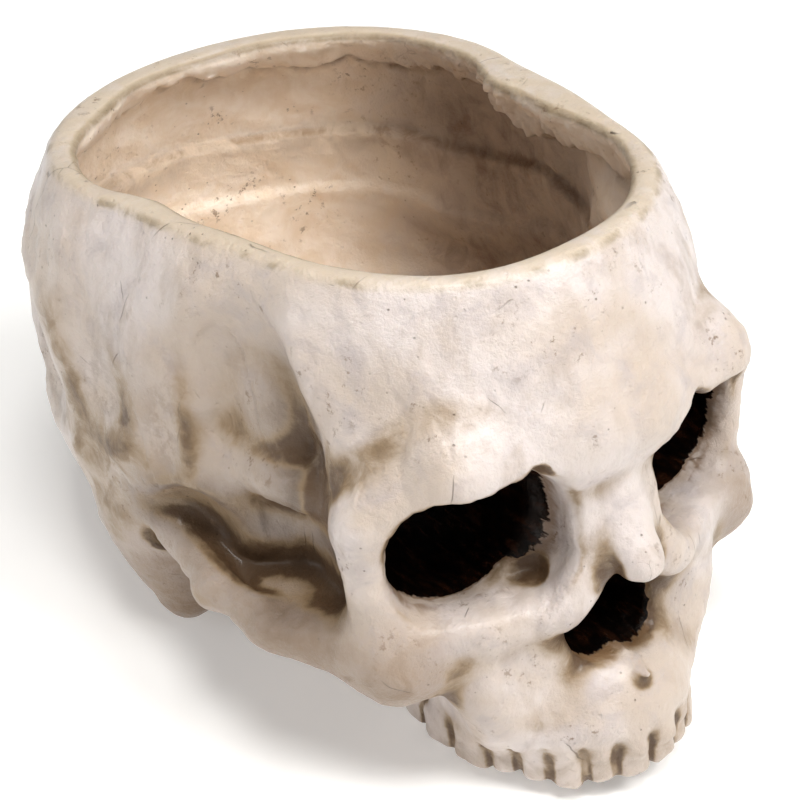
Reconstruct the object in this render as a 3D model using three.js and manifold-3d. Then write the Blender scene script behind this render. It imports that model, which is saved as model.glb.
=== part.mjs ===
// A bubbling aquarium ornament: a cast resin skull whose vault is sawn off, so that it is an open bowl,
// with an air fitting through the bowl's floor, a lift-off air stone and silicone feet.
// Units are millimetres, +Z is up, the face looks along -Y and +X is the skull's own left side.
// The skull is sculpted in its anatomical frame: origin midway between the ear canals, with the eye sockets'
// lower rims and the ear canals level. It is then tipped back until it rests on its teeth and its nape.
import * as THREE from "three";
import { mergeVertices } from "three/addons/utils/BufferGeometryUtils.js";
import Module from "manifold-3d";

// ---- Driving dimensions ----
const SKULL_LENGTH = 182; // brow to the back of the head
const SKULL_BREADTH = 142; // across the widest part of the vault
const SKULL_HEIGHT = 133; // base to crown, before the vault is sawn off
const RIM_FRONT_Z = 75; // height of the saw cut above the ear canals, at the forehead
const RIM_BACK_Z = 90; // the same at the back
const WALL = 4.5; // casting thickness round the bowl
const RIM_WALL = 7; // thicker lip along the saw cut
const RIM_LIP_DEPTH = 9; // how far the lip hangs down inside
const BOWL_FLOOR_Z = 4; // bowl floor above the ear canals
const SOCKET_DEPTH = 40; // eye sockets, blind
const TOOTH_WEAR = 1.5; // how much shorter the worn crowns are

const FLOOR_THICKNESS = 9; // casting left between the two flat seats of the air fitting
const SHANK_DIAMETER = 14;
const SHANK_TAIL = 0.8; // how far the shank stands out below the nut
const FLANGE_OVERHANG = 5; // flange beyond the shank, all round
const FLANGE_THICKNESS = 3;
const WASHER_WIDTH = 3.7; // from its hole to its rim
const WASHER_THICKNESS = 1.5;
const NUT_WALL = 3; // from the shank to the nut's flats
const NUT_THICKNESS = 5;
const SWIVEL_BORE = 8; // counterbore in the shank that the elbow's pin turns in
const SWIVEL_DEPTH = 9;
const AIR_BORE = 3;
const BARB_DIAMETER = 5; // standard 4/6 mm air line
const BARB_RIDGE = 0.5; // height of each barb over it
const ELBOW_REACH = 25; // from the turning axis to the tip of the hose barb
const ELBOW_DIAMETER = 9;
const ORING_THICKNESS = 1.1;
const SPIGOT_LENGTH = 6.5;
const SLEEVE_LENGTH = 12;
const SLEEVE_WALL = 1.4;
const STONE_DIAMETER = 22;
const STONE_LENGTH = 18;
const PAD_DIAMETER = 10;
const PAD_THICKNESS = 2;
const RUNNING_GAP = 0.2; // radial, where one piece turns or slides on another
const GAP = 0.3; // between pieces that rest against each other, and round the shank
const SEAT_PLAY = 1.5; // flat seat beyond the flange, all round
const RECESS_PLAY = 8; // hollow under the base beyond the elbow's sweep
const PAD_RIM = 2; // boss beyond the foot pad, all round

const HOLE_DIAMETER = SHANK_DIAMETER + 2 * GAP; // through the bowl's floor, the washers and the nut
const FLANGE_DIAMETER = SHANK_DIAMETER + 2 * FLANGE_OVERHANG;
const SEAT_DIAMETER = FLANGE_DIAMETER + 2 * SEAT_PLAY;
const WASHER_DIAMETER = HOLE_DIAMETER + 2 * WASHER_WIDTH;
const NUT_ACROSS_FLATS = SHANK_DIAMETER + 2 * NUT_WALL;
const RECESS_DIAMETER = 2 * (ELBOW_REACH + RECESS_PLAY);
const PAD_BOSS_DIAMETER = PAD_DIAMETER + 2 * PAD_RIM;

const CASTING_TRIANGLES = 7000;
const SCULPT_STEP = 2.5; // spacing of the grid that the sculpt is meshed on

const wasm = await Module();
wasm.setup();

// ---- The sculpt, as a signed distance field ----
// The figures in the tables are for a skull of 182 x 142 x 133; the axes are then stretched to the driving sizes.
const TEXTBOOK = { x: 142, y: 182, z: 133 };
const stretch = new THREE.Vector3(
  SKULL_BREADTH / TEXTBOOK.x,
  SKULL_LENGTH / TEXTBOOK.y,
  SKULL_HEIGHT / TEXTBOOK.z,
);

function turnMatrix(yaw, pitch, roll) {
  const angles = [pitch, roll, yaw].map(THREE.MathUtils.degToRad);
  return new THREE.Matrix3().setFromMatrix4(
    new THREE.Matrix4().makeRotationFromEuler(new THREE.Euler(...angles, "ZXY")),
  ).transpose().elements;
}

// An ellipsoid: centre, half axes, then its turns in degrees about Z, X and Y.
function ball(cx, cy, cz, rx, ry, rz, yaw = 0, pitch = 0, roll = 0) {
  const m = turnMatrix(yaw, pitch, roll);
  const reach = Math.max(rx, ry, rz);
  const distance = (x, y, z) => {
    const dx = x - cx, dy = y - cy, dz = z - cz;
    const u = m[0] * dx + m[3] * dy + m[6] * dz;
    const v = m[1] * dx + m[4] * dy + m[7] * dz;
    const w = m[2] * dx + m[5] * dy + m[8] * dz;
    const near = Math.hypot(u / rx, v / ry, w / rz);
    const slope = Math.hypot(u / (rx * rx), v / (ry * ry), w / (rz * rz));
    return slope < 1e-9 ? -Math.min(rx, ry, rz) : (near * (near - 1)) / slope;
  };
  return { distance, centre: [cx, cy, cz], reach };
}

// A box with rounded edges: centre, half sizes, edge radius, then its turns.
function block(cx, cy, cz, hx, hy, hz, round, yaw = 0, pitch = 0, roll = 0) {
  const m = turnMatrix(yaw, pitch, roll);
  const distance = (x, y, z) => {
    const dx = x - cx, dy = y - cy, dz = z - cz;
    const u = Math.abs(m[0] * dx + m[3] * dy + m[6] * dz) - hx + round;
    const v = Math.abs(m[1] * dx + m[4] * dy + m[7] * dz) - hy + round;
    const w = Math.abs(m[2] * dx + m[5] * dy + m[8] * dz) - hz + round;
    const outside = Math.hypot(Math.max(u, 0), Math.max(v, 0), Math.max(w, 0));
    return outside + Math.min(Math.max(u, v, w), 0) - round;
  };
  return { distance, centre: [cx, cy, cz], reach: Math.hypot(hx, hy, hz) };
}

// A tapered rod with round ends: two points, each with its radius.
function rod(ax, ay, az, ar, bx, by, bz, br) {
  const ex = bx - ax, ey = by - ay, ez = bz - az;
  const length2 = ex * ex + ey * ey + ez * ez;
  const distance = (x, y, z) => {
    const dx = x - ax, dy = y - ay, dz = z - az;
    const h = Math.min(1, Math.max(0, (dx * ex + dy * ey + dz * ez) / length2));
    return Math.hypot(dx - ex * h, dy - ey * h, dz - ez * h) - ar - (br - ar) * h;
  };
  const reach = Math.sqrt(length2) / 2 + Math.max(ar, br);
  return { distance, centre: [(ax + bx) / 2, (ay + by) / 2, (az + bz) / 2], reach };
}

const step = (sign, mirrored) => (name, shape, blend) => ({ name, shape, blend, sign, mirrored });
const add = step(1, false);
const addPair = step(1, true); // a pair is mirrored to both sides
const cut = step(-1, false);
const cutPair = step(-1, true);

// The vault alone, which also gives the bowl its inside.
const VAULT = [
  add("parietal vault", ball(0, 22, 50, 70, 64, 63), 0),
  add("frontal dome", ball(0, -33, 46, 59, 61, 62), 20),
  add("coronal girth", ball(0, -8, 46, 65, 62, 61), 8),
  add("occiput", ball(0, 50, 28, 54, 38, 42), 18),
  addPair("temporal squama", ball(43, 2, 22, 25, 40, 27), 16),
  add("lower braincase", ball(0, 28, 17, 66, 59, 36), 12),
  add("nape", ball(0, 42, 0, 54, 36, 25), 14),
];

const FACE = [
  add("skull base", ball(0, -24, 2, 36, 44, 22), 12),
  cutPair("temporal fossa", ball(80, -45, 34, 34, 27, 50), 3),
  cutPair("temporal fossa, upper", ball(80, -42, 56, 28, 26, 34), 6),
  cutPair("fossa behind the socket", ball(68, -44, 8, 23, 16, 24), 5),
  addPair("greater wing", ball(37, -54, 12, 12, 17, 22), 8),
  addPair("resin web inside the arch", ball(48, -34, -7, 15, 26, 7), 5),
  addPair("swell over the pocket", rod(60, 6, 27, 6, 51, -46, 24, 5), 9),
  cutPair("pocket over the arch", ball(72, -27, 6, 17, 29, 13, 0, 0, -12), 3),
  addPair("swell in the temple", ball(47, -34, 43, 6.5, 9, 11), 8),
  add("glabella", ball(0, -84, 38, 16, 14, 11), 8),
  addPair("brow ridge", rod(10, -90, 37, 6, 36, -85, 39, 6), 7),
  addPair("brow ridge, outer", rod(36, -84, 38, 6, 52, -70, 27, 5), 6),
  add("bridge between the sockets", ball(0, -74, 14, 12.5, 18, 26), 6),
  addPair("frontal process of the maxilla", rod(9, -86, 20, 4.5, 16, -87, -4, 5), 6),
  add("nasal bones", rod(0, -87, 25, 6.5, 0, -97, 6, 5), 6),
  addPair("nasal bones, flank", rod(5, -84, 20, 6, 10, -87, 0, 4.5), 7),
  addPair("cheekbone", ball(45, -66, -9, 13, 12, 13, -25), 8),
  addPair("frontal process of the cheekbone", rod(52, -69, 26, 5, 49, -67, 0, 6.5), 6),
  addPair("lower socket rim", rod(46, -70, -4, 6, 20, -83, -4, 5.5), 5),
  addPair("body of the maxilla", ball(21, -67, -20, 19, 19, 22), 8),
  add("alveolar process", ball(0, -62, -36, 31, 34, 13), 8),
  add("premaxilla", ball(0, -80, -32, 19, 15, 14), 7),
  addPair("arch of the cheek, front", rod(53, -60, -8, 6.5, 63, -42, -5, 4.4), 6),
  addPair("arch of the cheek, middle", rod(63, -42, -5, 4.4, 65, -24, -2, 4), 3),
  addPair("arch of the cheek, root", rod(65, -24, -2, 4, 60, -4, 4, 6), 5),
  addPair("articular tubercle", ball(55, -18, -6, 9, 6, 6), 4),
  addPair("supramastoid crest", rod(62, -2, 5, 4, 66, 24, 20, 2), 7),
  addPair("mastoid process", rod(56, 13, 0, 14, 53, 15, -23, 8.5), 6),
  addPair("mastoid body", ball(52, 25, -2, 14, 16, 18), 8),
  cutPair("digastric notch", rod(41, 8, -24, 3, 43, 30, -22, 3), 4),
  cutPair("ear canal", rod(74, -1, 1, 4.5, 52, 0, 1, 3), 2),
  cutPair("jaw socket", ball(53, -8, -7, 9, 5, 6), 4),
  addPair("pterygoid plates", ball(17, -42, -22, 6, 8, 18), 5),
  cut("palate", ball(0, -58, -52, 21, 30, 15), 4),
  cutPair("canine fossa", ball(27, -93, -20, 9, 7, 10), 8),
  cutPair("hollow under the cheekbone", ball(45, -62, -32, 12, 16, 11), 8),
  cutPair("hole under the socket", rod(28, -95, -9, 1.6, 27, -80, -7, 1), 2.5),
  cutPair("notch over the socket", ball(22, -91, 34, 2, 4, 2.5), 3),
  cutPair("flute in the temple, front", rod(71, -19, 54, 5, 71, -15, 34, 5), 6),
  cutPair("flute in the temple, middle", rod(75, 12, 56, 5, 74, 9, 38, 6), 6),
  cutPair("flute in the temple, back", rod(69, 46, 48, 5, 70, 43, 30, 5), 6),
  addPair("nuchal line", rod(8, 86, 12, 3, 46, 66, 6, 3), 9),
];

// Openings in the face. The sockets' depth is set by the driving size.
const OPENINGS = [
  cutPair("eye socket, mouth", block(31.5, -86, 17, 20, 18, 17, 13, 12), 3),
  cutPair("eye socket, deep", ball(29, -84 + SOCKET_DEPTH / 2, 17, 18.5, SOCKET_DEPTH / 2 + 4, 16, 14), 3),
  cut("nose, upper", rod(0, -112, -3, 5, 0, -66, -5, 5), 2.5),
  cutPair("nose, lower", rod(5, -112, -15, 7.5, 4.5, -66, -14, 7), 2),
  add("nasal spine", rod(0, -88, -26, 3, 0, -96, -24.5, 1.4), 2),
];

// ---- Teeth, along a half ellipse ----
const ARCH = { halfWidth: 27.5, front: -93, back: -52 };
const gumHeight = (y) => -43 + 0.14 * (y - ARCH.front); // the biting plane falls towards the front
const CROWN_HEIGHT = 10.5 - TOOTH_WEAR;
const TOOTH_WIDTHS = [8.6, 6.8, 7.6, 7, 6.8, 10, 9.6, 8.6]; // from the middle incisor back
const TOOTH_DEPTHS = [6, 6, 7.5, 8.5, 8.5, 10.5, 10.5, 9.5];
const TOOTH_PLAY = 0.96; // arch length used per unit of tooth width

function archPoint(angle) {
  const x = ARCH.halfWidth * Math.sin(angle);
  const y = ARCH.back + (ARCH.front - ARCH.back) * Math.cos(angle);
  return [x, y];
}

function teeth() {
  const made = [];
  let angle = 0;
  for (const [i, width] of TOOTH_WIDTHS.entries()) {
    const speed = () => Math.hypot(
      ARCH.halfWidth * Math.cos(angle), (ARCH.front - ARCH.back) * Math.sin(angle),
    );
    angle += (width * TOOTH_PLAY) / 2 / speed();
    const [x, y] = archPoint(angle);
    const yaw = THREE.MathUtils.radToDeg(Math.atan2(
      (ARCH.back - ARCH.front) * Math.sin(angle), ARCH.halfWidth * Math.cos(angle),
    ));
    const half = CROWN_HEIGHT / 2;
    const depth = TOOTH_DEPTHS[i] / 2;
    made.push(addPair(
      "crown " + (i + 1),
      block(x, y, gumHeight(y) - half + 1, width / 2 - 0.3, depth, half + 1, 2.2, yaw), 1.2,
    ));
    made.push(addPair(
      "root " + (i + 1),
      rod(
        x * 1.05, ARCH.back + (y - ARCH.back) * 1.04, gumHeight(y), width * 0.38,
        x * 0.93, y + 3, gumHeight(y) + 15, 2,
      ), 2.5,
    ));
    angle += (width * TOOTH_PLAY) / 2 / speed();
  }
  return made;
}

// ---- From the sculpt's frame to the standing frame ----
// The ornament rests on its back teeth and its nape, so those two points set how far it is tipped.
const REST_FRONT = new THREE.Vector3(0, -58, gumHeight(-58) - CROWN_HEIGHT).multiply(stretch);
const REST_BACK = new THREE.Vector3(0, 46, -25).multiply(stretch);
const TIP = Math.atan2(REST_BACK.z - REST_FRONT.z, REST_BACK.y - REST_FRONT.y);
const COS = Math.cos(TIP), SIN = Math.sin(TIP);
const REST_Z = REST_FRONT.z * COS - REST_FRONT.y * SIN;
const GROUND_Z = PAD_THICKNESS + GAP; // the casting's underside
const LIFT = GROUND_Z - REST_Z;

const sculptPoint = (x, y, z) => {
  const zt = z - LIFT;
  return [x, y * COS - zt * SIN, y * SIN + zt * COS];
};

// ---- Evaluating the field ----
const smoothMin = (a, b, k) => {
  const h = Math.max(k - Math.abs(a - b), 0);
  return k > 0 ? Math.min(a, b) - (h * h) / (4 * k) : Math.min(a, b);
};
const smoothMax = (a, b, k) => -smoothMin(-a, -b, k);

function applySteps(steps, x, y, z, start) {
  let d = start;
  for (const s of steps) {
    const px = s.mirrored ? Math.abs(x) : x;
    const c = s.shape.centre;
    const away = Math.hypot(px - c[0], y - c[1], z - c[2]) - s.shape.reach;
    if (s.sign > 0 ? away > d + s.blend : -away < d - s.blend) continue;
    const e = s.shape.distance(px, y, z);
    d = s.sign > 0 ? smoothMin(d, e, s.blend) : smoothMax(d, -e, s.blend);
  }
  return d;
}

const DETAIL = [...FACE, ...teeth(), ...OPENINGS];
const RIM_EDGE = 4; // rounding of the sawn edge
const CAVITY_EDGE = 5;
const ORBIT_ROOF = ball(0, -66, 14, 60, 44, 34); // keeps the bowl's floor off the sockets

function rimHeight(y) {
  const front = -95, back = 88;
  return RIM_FRONT_Z + ((RIM_BACK_Z - RIM_FRONT_Z) * (y - front)) / (back - front);
}

// Negative inside the resin. x, y and z are in the standing frame.
function casting(x, y, z) {
  const [sx, sy, sz] = sculptPoint(x, y, z);
  const px = sx / stretch.x, py = sy / stretch.y, pz = sz / stretch.z;
  const vault = applySteps(VAULT, px, py, pz, 1e3);
  const outside = applySteps(DETAIL, px, py, pz, vault);
  const rim = rimHeight(sy);
  let d = smoothMax(outside, sz - rim, RIM_EDGE);
  const lip = THREE.MathUtils.smoothstep(sz, rim - RIM_LIP_DEPTH - 2, rim - RIM_LIP_DEPTH + 2);
  const wall = WALL + (RIM_WALL - WALL) * lip;
  let bowl = smoothMax(vault + wall, outside + WALL, 6);
  bowl = smoothMax(bowl, BOWL_FLOOR_Z - sz, 16);
  bowl = smoothMax(bowl, -ORBIT_ROOF.distance(px, py, pz), 12);
  d = smoothMax(d, -bowl, CAVITY_EDGE);
  return Math.max(d, GROUND_Z - z);
}

// ---- Meshing the field by marching tetrahedra ----
// Each grid cube is split into six tetrahedra along its diagonal, which always gives a closed surface.
const TETRAHEDRA = [[1, 3], [1, 5], [2, 3], [2, 6], [4, 5], [4, 6]].map((mid) => [0, ...mid, 7]);

function polygonise(field, low, high, spacing) {
  const size = high.clone().sub(low).divideScalar(spacing).ceil().addScalar(1);
  const stride = [1, size.x, size.x * size.y];
  const offset = (bits) => (bits & 1) * stride[0] + ((bits >> 1) & 1) * stride[1] + (bits >> 2) * stride[2];
  const values = new Float64Array(size.x * size.y * size.z);
  for (let k = 0, n = 0; k < size.z; k++)
    for (let j = 0; j < size.y; j++)
      for (let i = 0; i < size.x; i++, n++)
        values[n] = field(low.x + i * spacing, low.y + j * spacing, low.z + k * spacing) || 1e-9;
  const points = [], faces = [], known = new Map();
  const place = (n) => [n % size.x, Math.floor(n / size.x) % size.y, Math.floor(n / stride[2])];
  const cross = (a, b) => {
    const key = Math.min(a, b) * values.length + Math.max(a, b);
    if (known.has(key)) return known.get(key);
    const t = THREE.MathUtils.clamp(values[a] / (values[a] - values[b]), 0.02, 0.98);
    const pa = place(a), pb = place(b);
    points.push([0, 1, 2].map((c) => low.getComponent(c) + spacing * (pa[c] + (pb[c] - pa[c]) * t)));
    known.set(key, points.length - 1);
    return points.length - 1;
  };
  const centre = (ns) => ns.map(place).reduce((s, p) => s.map((v, c) => v + p[c] / ns.length), [0, 0, 0]);
  const facing = (tri, inside, outside) => {
    const [a, b, c] = tri.map((i) => new THREE.Vector3(...points[i]));
    const out = new THREE.Vector3(...centre(outside)).sub(new THREE.Vector3(...centre(inside)));
    return b.clone().sub(a).cross(c.clone().sub(a)).dot(out) >= 0 ? tri : [tri[0], tri[2], tri[1]];
  };
  for (let k = 0; k + 1 < size.z; k++)
    for (let j = 0; j + 1 < size.y; j++)
      for (let i = 0; i + 1 < size.x; i++) {
        const base = i + j * stride[1] + k * stride[2];
        let signs = 0;
        for (let b = 0; b < 8; b++) signs += values[base + offset(b)] < 0 ? 1 : 0;
        if (signs === 0 || signs === 8) continue;
        for (const tet of TETRAHEDRA) {
          const corners = tet.map((b) => base + offset(b));
          const inside = corners.filter((n) => values[n] < 0);
          const outside = corners.filter((n) => values[n] >= 0);
          if (inside.length === 1 || inside.length === 3) {
            const [one, rest] = inside.length === 1 ? [inside[0], outside] : [outside[0], inside];
            faces.push(facing(rest.map((n) => cross(one, n)), inside, outside));
          } else if (inside.length === 2) {
            const [a, b, c, d] = [
              cross(inside[0], outside[0]), cross(inside[0], outside[1]),
              cross(inside[1], outside[1]), cross(inside[1], outside[0]),
            ];
            faces.push(facing([a, b, c], inside, outside), facing([a, c, d], inside, outside));
          }
        }
      }
  return { points, faces };
}

// Keeps the largest connected piece, so that a stray crumb of the field can't become a second body.
function largestPiece({ points, faces }) {
  const parent = points.map((_, i) => i);
  const root = (i) => {
    while (parent[i] !== i) i = parent[i] = parent[parent[i]];
    return i;
  };
  for (const [a, b, c] of faces) {
    parent[root(a)] = root(b);
    parent[root(b)] = root(c);
  }
  const count = new Map();
  for (const f of faces) count.set(root(f[0]), (count.get(root(f[0])) || 0) + 1);
  const best = [...count].sort((a, b) => b[1] - a[1])[0][0];
  return { points, faces: faces.filter((f) => root(f[0]) === best) };
}

// ---- Fewer triangles, by collapsing the edge that moves the surface least (quadric error) ----
class Heap {
  items = [];
  push(item) {
    const a = this.items;
    let i = a.push(item) - 1;
    while (i > 0 && a[(i - 1) >> 1].cost > item.cost) {
      a[i] = a[(i - 1) >> 1];
      i = (i - 1) >> 1;
    }
    a[i] = item;
  }
  pop() {
    const a = this.items, top = a[0], last = a.pop();
    if (!a.length) return top;
    let i = 0;
    for (;;) {
      let c = 2 * i + 1;
      if (c >= a.length) break;
      if (c + 1 < a.length && a[c + 1].cost < a[c].cost) c++;
      if (a[c].cost >= last.cost) break;
      a[i] = a[c];
      i = c;
    }
    a[i] = last;
    return top;
  }
}

const minus = (a, b) => [a[0] - b[0], a[1] - b[1], a[2] - b[2]];
const dot = (a, b) => a[0] * b[0] + a[1] * b[1] + a[2] * b[2];
const crossed = (a, b) => [
  a[1] * b[2] - a[2] * b[1], a[2] * b[0] - a[0] * b[2], a[0] * b[1] - a[1] * b[0],
];

// A plane's quadric, weighted by area, as the ten numbers of its symmetric matrix.
function planeQuadric(p, q, r) {
  const n = crossed(minus(q, p), minus(r, p));
  const area = Math.sqrt(dot(n, n)) / 2 || 1e-12;
  const u = n.map((v) => v / (2 * area));
  const e = [...u, -dot(u, p)];
  const out = [];
  for (let i = 0; i < 4; i++) for (let j = i; j < 4; j++) out.push(e[i] * e[j] * area);
  return out;
}

const quadricError = (q, [x, y, z]) =>
  q[0] * x * x + 2 * q[1] * x * y + 2 * q[2] * x * z + 2 * q[3] * x + q[4] * y * y +
  2 * q[5] * y * z + 2 * q[6] * y + q[7] * z * z + 2 * q[8] * z + q[9];

function bestPoint(q, a, b) {
  const mid = a.map((v, i) => (v + b[i]) / 2);
  const m = new THREE.Matrix3().set(q[0], q[1], q[2], q[1], q[4], q[5], q[2], q[5], q[7]);
  const size = (Math.abs(q[0]) + Math.abs(q[4]) + Math.abs(q[7])) / 3;
  if (Math.abs(m.determinant()) < 1e-3 * size ** 3) return mid;
  const v = new THREE.Vector3(-q[3], -q[6], -q[8]).applyMatrix3(m.invert()).toArray();
  const far = minus(v, mid), edge = minus(a, b);
  return dot(far, far) < dot(edge, edge) ? v : mid;
}

function simplify({ points, faces }, target) {
  const p = points.map((v) => [...v]);
  const f = faces.map((t) => [...t]);
  const alive = f.map(() => true);
  const stars = p.map(() => new Set());
  f.forEach((t, i) => t.forEach((v) => stars[v].add(i)));
  const quadrics = p.map(() => new Array(10).fill(0));
  f.forEach((t) => {
    const q = planeQuadric(...t.map((v) => p[v]));
    t.forEach((v) => q.forEach((w, i) => { quadrics[v][i] += w; }));
  });
  const stamp = p.map(() => 0);
  const heap = new Heap();
  const neighbours = (v) => {
    const found = new Set();
    for (const i of stars[v]) for (const w of f[i]) if (w !== v) found.add(w);
    return found;
  };
  const EDGE_WEIGHT = 2e-3; // favours short edges where the surface is flat
  const offer = (a, b) => {
    const q = quadrics[a].map((v, i) => v + quadrics[b][i]);
    const at = bestPoint(q, p[a], p[b]);
    const edge = minus(p[a], p[b]);
    heap.push({ cost: quadricError(q, at) + EDGE_WEIGHT * dot(edge, edge) ** 1.5, a, b, at,
      stamps: stamp[a] + stamp[b], q });
  };
  const SLENDER = 0.03; // twice a triangle's area over its longest edge squared, at least
  const keepsShape = (v, other, at) => {
    for (const i of stars[v]) {
      if (f[i].includes(other)) continue;
      const before = f[i].map((w) => p[w]);
      const after = f[i].map((w) => (w === v ? at : p[w]));
      const n0 = crossed(minus(before[1], before[0]), minus(before[2], before[0]));
      const n1 = crossed(minus(after[1], after[0]), minus(after[2], after[0]));
      const longest = Math.max(...[0, 1, 2].map((e) => {
        const d = minus(after[e], after[(e + 1) % 3]);
        return dot(d, d);
      }));
      if (dot(n0, n1) < 0.3 * Math.sqrt(dot(n0, n0) * dot(n1, n1))) return false;
      if (Math.sqrt(dot(n1, n1)) < SLENDER * longest) return false;
    }
    return true;
  };
  const offerAll = () => f.forEach((t, n) => alive[n] && t.forEach((a, i) => {
    const b = t[(i + 1) % 3];
    if (a < b) offer(a, b);
  }));
  let left = f.length, rounds = 6;
  while (left > target) {
    if (!heap.items.length) {
      if (rounds-- === 0) break;
      offerAll();
    }
    const e = heap.pop();
    if (!stars[e.a].size || !stars[e.b].size || stamp[e.a] + stamp[e.b] !== e.stamps) continue;
    const around = neighbours(e.a);
    if (!around.has(e.b)) continue;
    const shared = [...neighbours(e.b)].filter((v) => around.has(v));
    if (shared.length !== 2 || !keepsShape(e.a, e.b, e.at) || !keepsShape(e.b, e.a, e.at)) continue;
    for (const i of [...stars[e.b]]) {
      if (f[i].includes(e.a)) {
        alive[i] = false;
        left--;
        f[i].forEach((v) => stars[v].delete(i));
      } else {
        f[i][f[i].indexOf(e.b)] = e.a;
        stars[e.a].add(i);
      }
    }
    stars[e.b].clear();
    p[e.a] = e.at;
    quadrics[e.a] = e.q;
    stamp[e.a] += 1;
    for (const v of neighbours(e.a)) offer(e.a, v);
  }
  return { points: p, faces: f.filter((_, i) => alive[i]) };
}

// ---- Between three.js and manifold-3d ----
function solidFrom(geometry) {
  const bare = geometry.clone();
  bare.deleteAttribute("normal");
  bare.deleteAttribute("uv");
  const merged = mergeVertices(bare, 1e-4);
  return new wasm.Manifold(new wasm.Mesh({
    numProp: 3,
    vertProperties: new Float32Array(merged.attributes.position.array),
    triVerts: new Uint32Array(merged.index.array),
  }));
}

function geometryFrom(solid) {
  const mesh = solid.getMesh();
  const position = new Float32Array(mesh.numVert * 3);
  for (let i = 0; i < mesh.numVert; i++)
    position.set(mesh.vertProperties.subarray(i * mesh.numProp, i * mesh.numProp + 3), i * 3);
  const geometry = new THREE.BufferGeometry();
  geometry.setAttribute("position", new THREE.BufferAttribute(position, 3));
  geometry.setIndex(new THREE.BufferAttribute(mesh.triVerts, 1));
  geometry.computeVertexNormals();
  return geometry;
}

// A cylinder standing along Z from one height to another.
function upright(radius, z0, z1, sides = 48, x = 0, y = 0) {
  return new THREE.CylinderGeometry(radius, radius, z1 - z0, sides)
    .rotateX(Math.PI / 2)
    .translate(x, y, (z0 + z1) / 2);
}

// A solid turned about Z from a closed outline of [radius, height] points, listed anticlockwise.
function turned(outline, sides = 28) {
  const closed = [...outline, outline[0]].map(([r, z]) => new THREE.Vector2(r, z));
  return new THREE.LatheGeometry(closed, sides).rotateX(Math.PI / 2);
}

// ---- The casting, with the air fitting's seats and the bosses for the feet ----
const AXIS_Y = 6; // the air fitting's axis, behind the middle of the bowl
const HALF_SPAN_X = Math.ceil((0.56 * SKULL_BREADTH) / SCULPT_STEP) * SCULPT_STEP; // a grid plane at the middle
const SPAN = {
  low: new THREE.Vector3(-HALF_SPAN_X, -0.66 * SKULL_LENGTH, 0),
  high: new THREE.Vector3(HALF_SPAN_X, 0.6 * SKULL_LENGTH, 1.15 * SKULL_HEIGHT),
};
const PAD_PLACES = [[-11, -68], [11, -68], [-21, 43], [21, 43]].map(
  ([x, y]) => [x * stretch.x, y * stretch.y],
);

// The height of the bowl's floor over one point, searched downwards from the middle of the bowl.
function floorHeight(x, y) {
  let z = LIFT + SKULL_HEIGHT * 0.4;
  while (z > 0 && casting(x, y, z) > 0) z -= 0.25;
  return z;
}

// The flat seat is cut down to the lowest point of the floor under the washer.
function seatHeight() {
  const angles = [...Array(12).keys()].map((i) => (i * Math.PI) / 6);
  const r = SEAT_DIAMETER / 2;
  return Math.min(...angles.map((a) => floorHeight(r * Math.sin(a), AXIS_Y + r * Math.cos(a))));
}

const SEAT_TOP = seatHeight();
const SEAT_UNDER = SEAT_TOP - FLOOR_THICKNESS;

function recess() {
  const r = RECESS_DIAMETER / 2, round = 7;
  const corner = [0, 1, 2, 3, 4].map((i) => {
    const a = (i / 4) * (Math.PI / 2);
    return [r - round + round * Math.cos(a), SEAT_UNDER - round + round * Math.sin(a)];
  });
  return turned([[0, -1], [r, -1], ...corner, [0, SEAT_UNDER]], 40).translate(0, AXIS_Y, 0);
}

function boss([x, y]) {
  let top = GROUND_Z + 1;
  while (top < SEAT_TOP && casting(x, y, top) > -2) top += 0.5;
  return upright(PAD_BOSS_DIAMETER / 2, GROUND_Z, top, 24, x, y);
}

function skullGeometry() {
  const mesh = simplify(largestPiece(polygonise(casting, SPAN.low, SPAN.high, SCULPT_STEP)), CASTING_TRIANGLES);
  const raw = new THREE.BufferGeometry();
  raw.setAttribute("position", new THREE.BufferAttribute(new Float32Array(mesh.points.flat()), 3));
  raw.setIndex(mesh.faces.flat());
  let solid = solidFrom(raw);
  solid = solid.subtract(solidFrom(recess()));
  for (const place of PAD_PLACES) solid = solid.add(solidFrom(boss(place)));
  const seat = upright(SEAT_DIAMETER / 2, SEAT_TOP, SEAT_TOP + 16, 40, 0, AXIS_Y);
  const hole = upright(HOLE_DIAMETER / 2, SEAT_UNDER - 2, SEAT_TOP + 2, 40, 0, AXIS_Y);
  solid = solid.subtract(solidFrom(seat)).subtract(solidFrom(hole));
  const bodies = solid.decompose().sort((a, b) => b.volume() - a.volume());
  return geometryFrom(bodies[0]);
}

// ---- The air fitting, stacked along its axis ----
const UPPER_WASHER_Z = SEAT_TOP + GAP;
const FLANGE_Z = UPPER_WASHER_Z + WASHER_THICKNESS + GAP;
const LOWER_WASHER_Z = SEAT_UNDER - GAP - WASHER_THICKNESS;
const NUT_Z = LOWER_WASHER_Z - GAP - NUT_THICKNESS;
const SHANK_END_Z = NUT_Z - SHANK_TAIL;
const SPIGOT_TOP_Z = FLANGE_Z + FLANGE_THICKNESS + SPIGOT_LENGTH;
const SWIVEL_TOP_Z = SHANK_END_Z + SWIVEL_DEPTH;
const PIN_TOP_Z = SWIVEL_TOP_Z - GAP;
const ELBOW_TOP_Z = SHANK_END_Z - GAP;
const ARM_Z = ELBOW_TOP_Z - 2 - ELBOW_DIAMETER / 2;
const ORING_Z = (SHANK_END_Z + PIN_TOP_Z) / 2;
const SLEEVE_Z = FLANGE_Z + FLANGE_THICKNESS + GAP;
const NIPPLE_Z = SPIGOT_TOP_Z + GAP;
const STONE_Z = SLEEVE_Z + SLEEVE_LENGTH + GAP;

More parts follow.
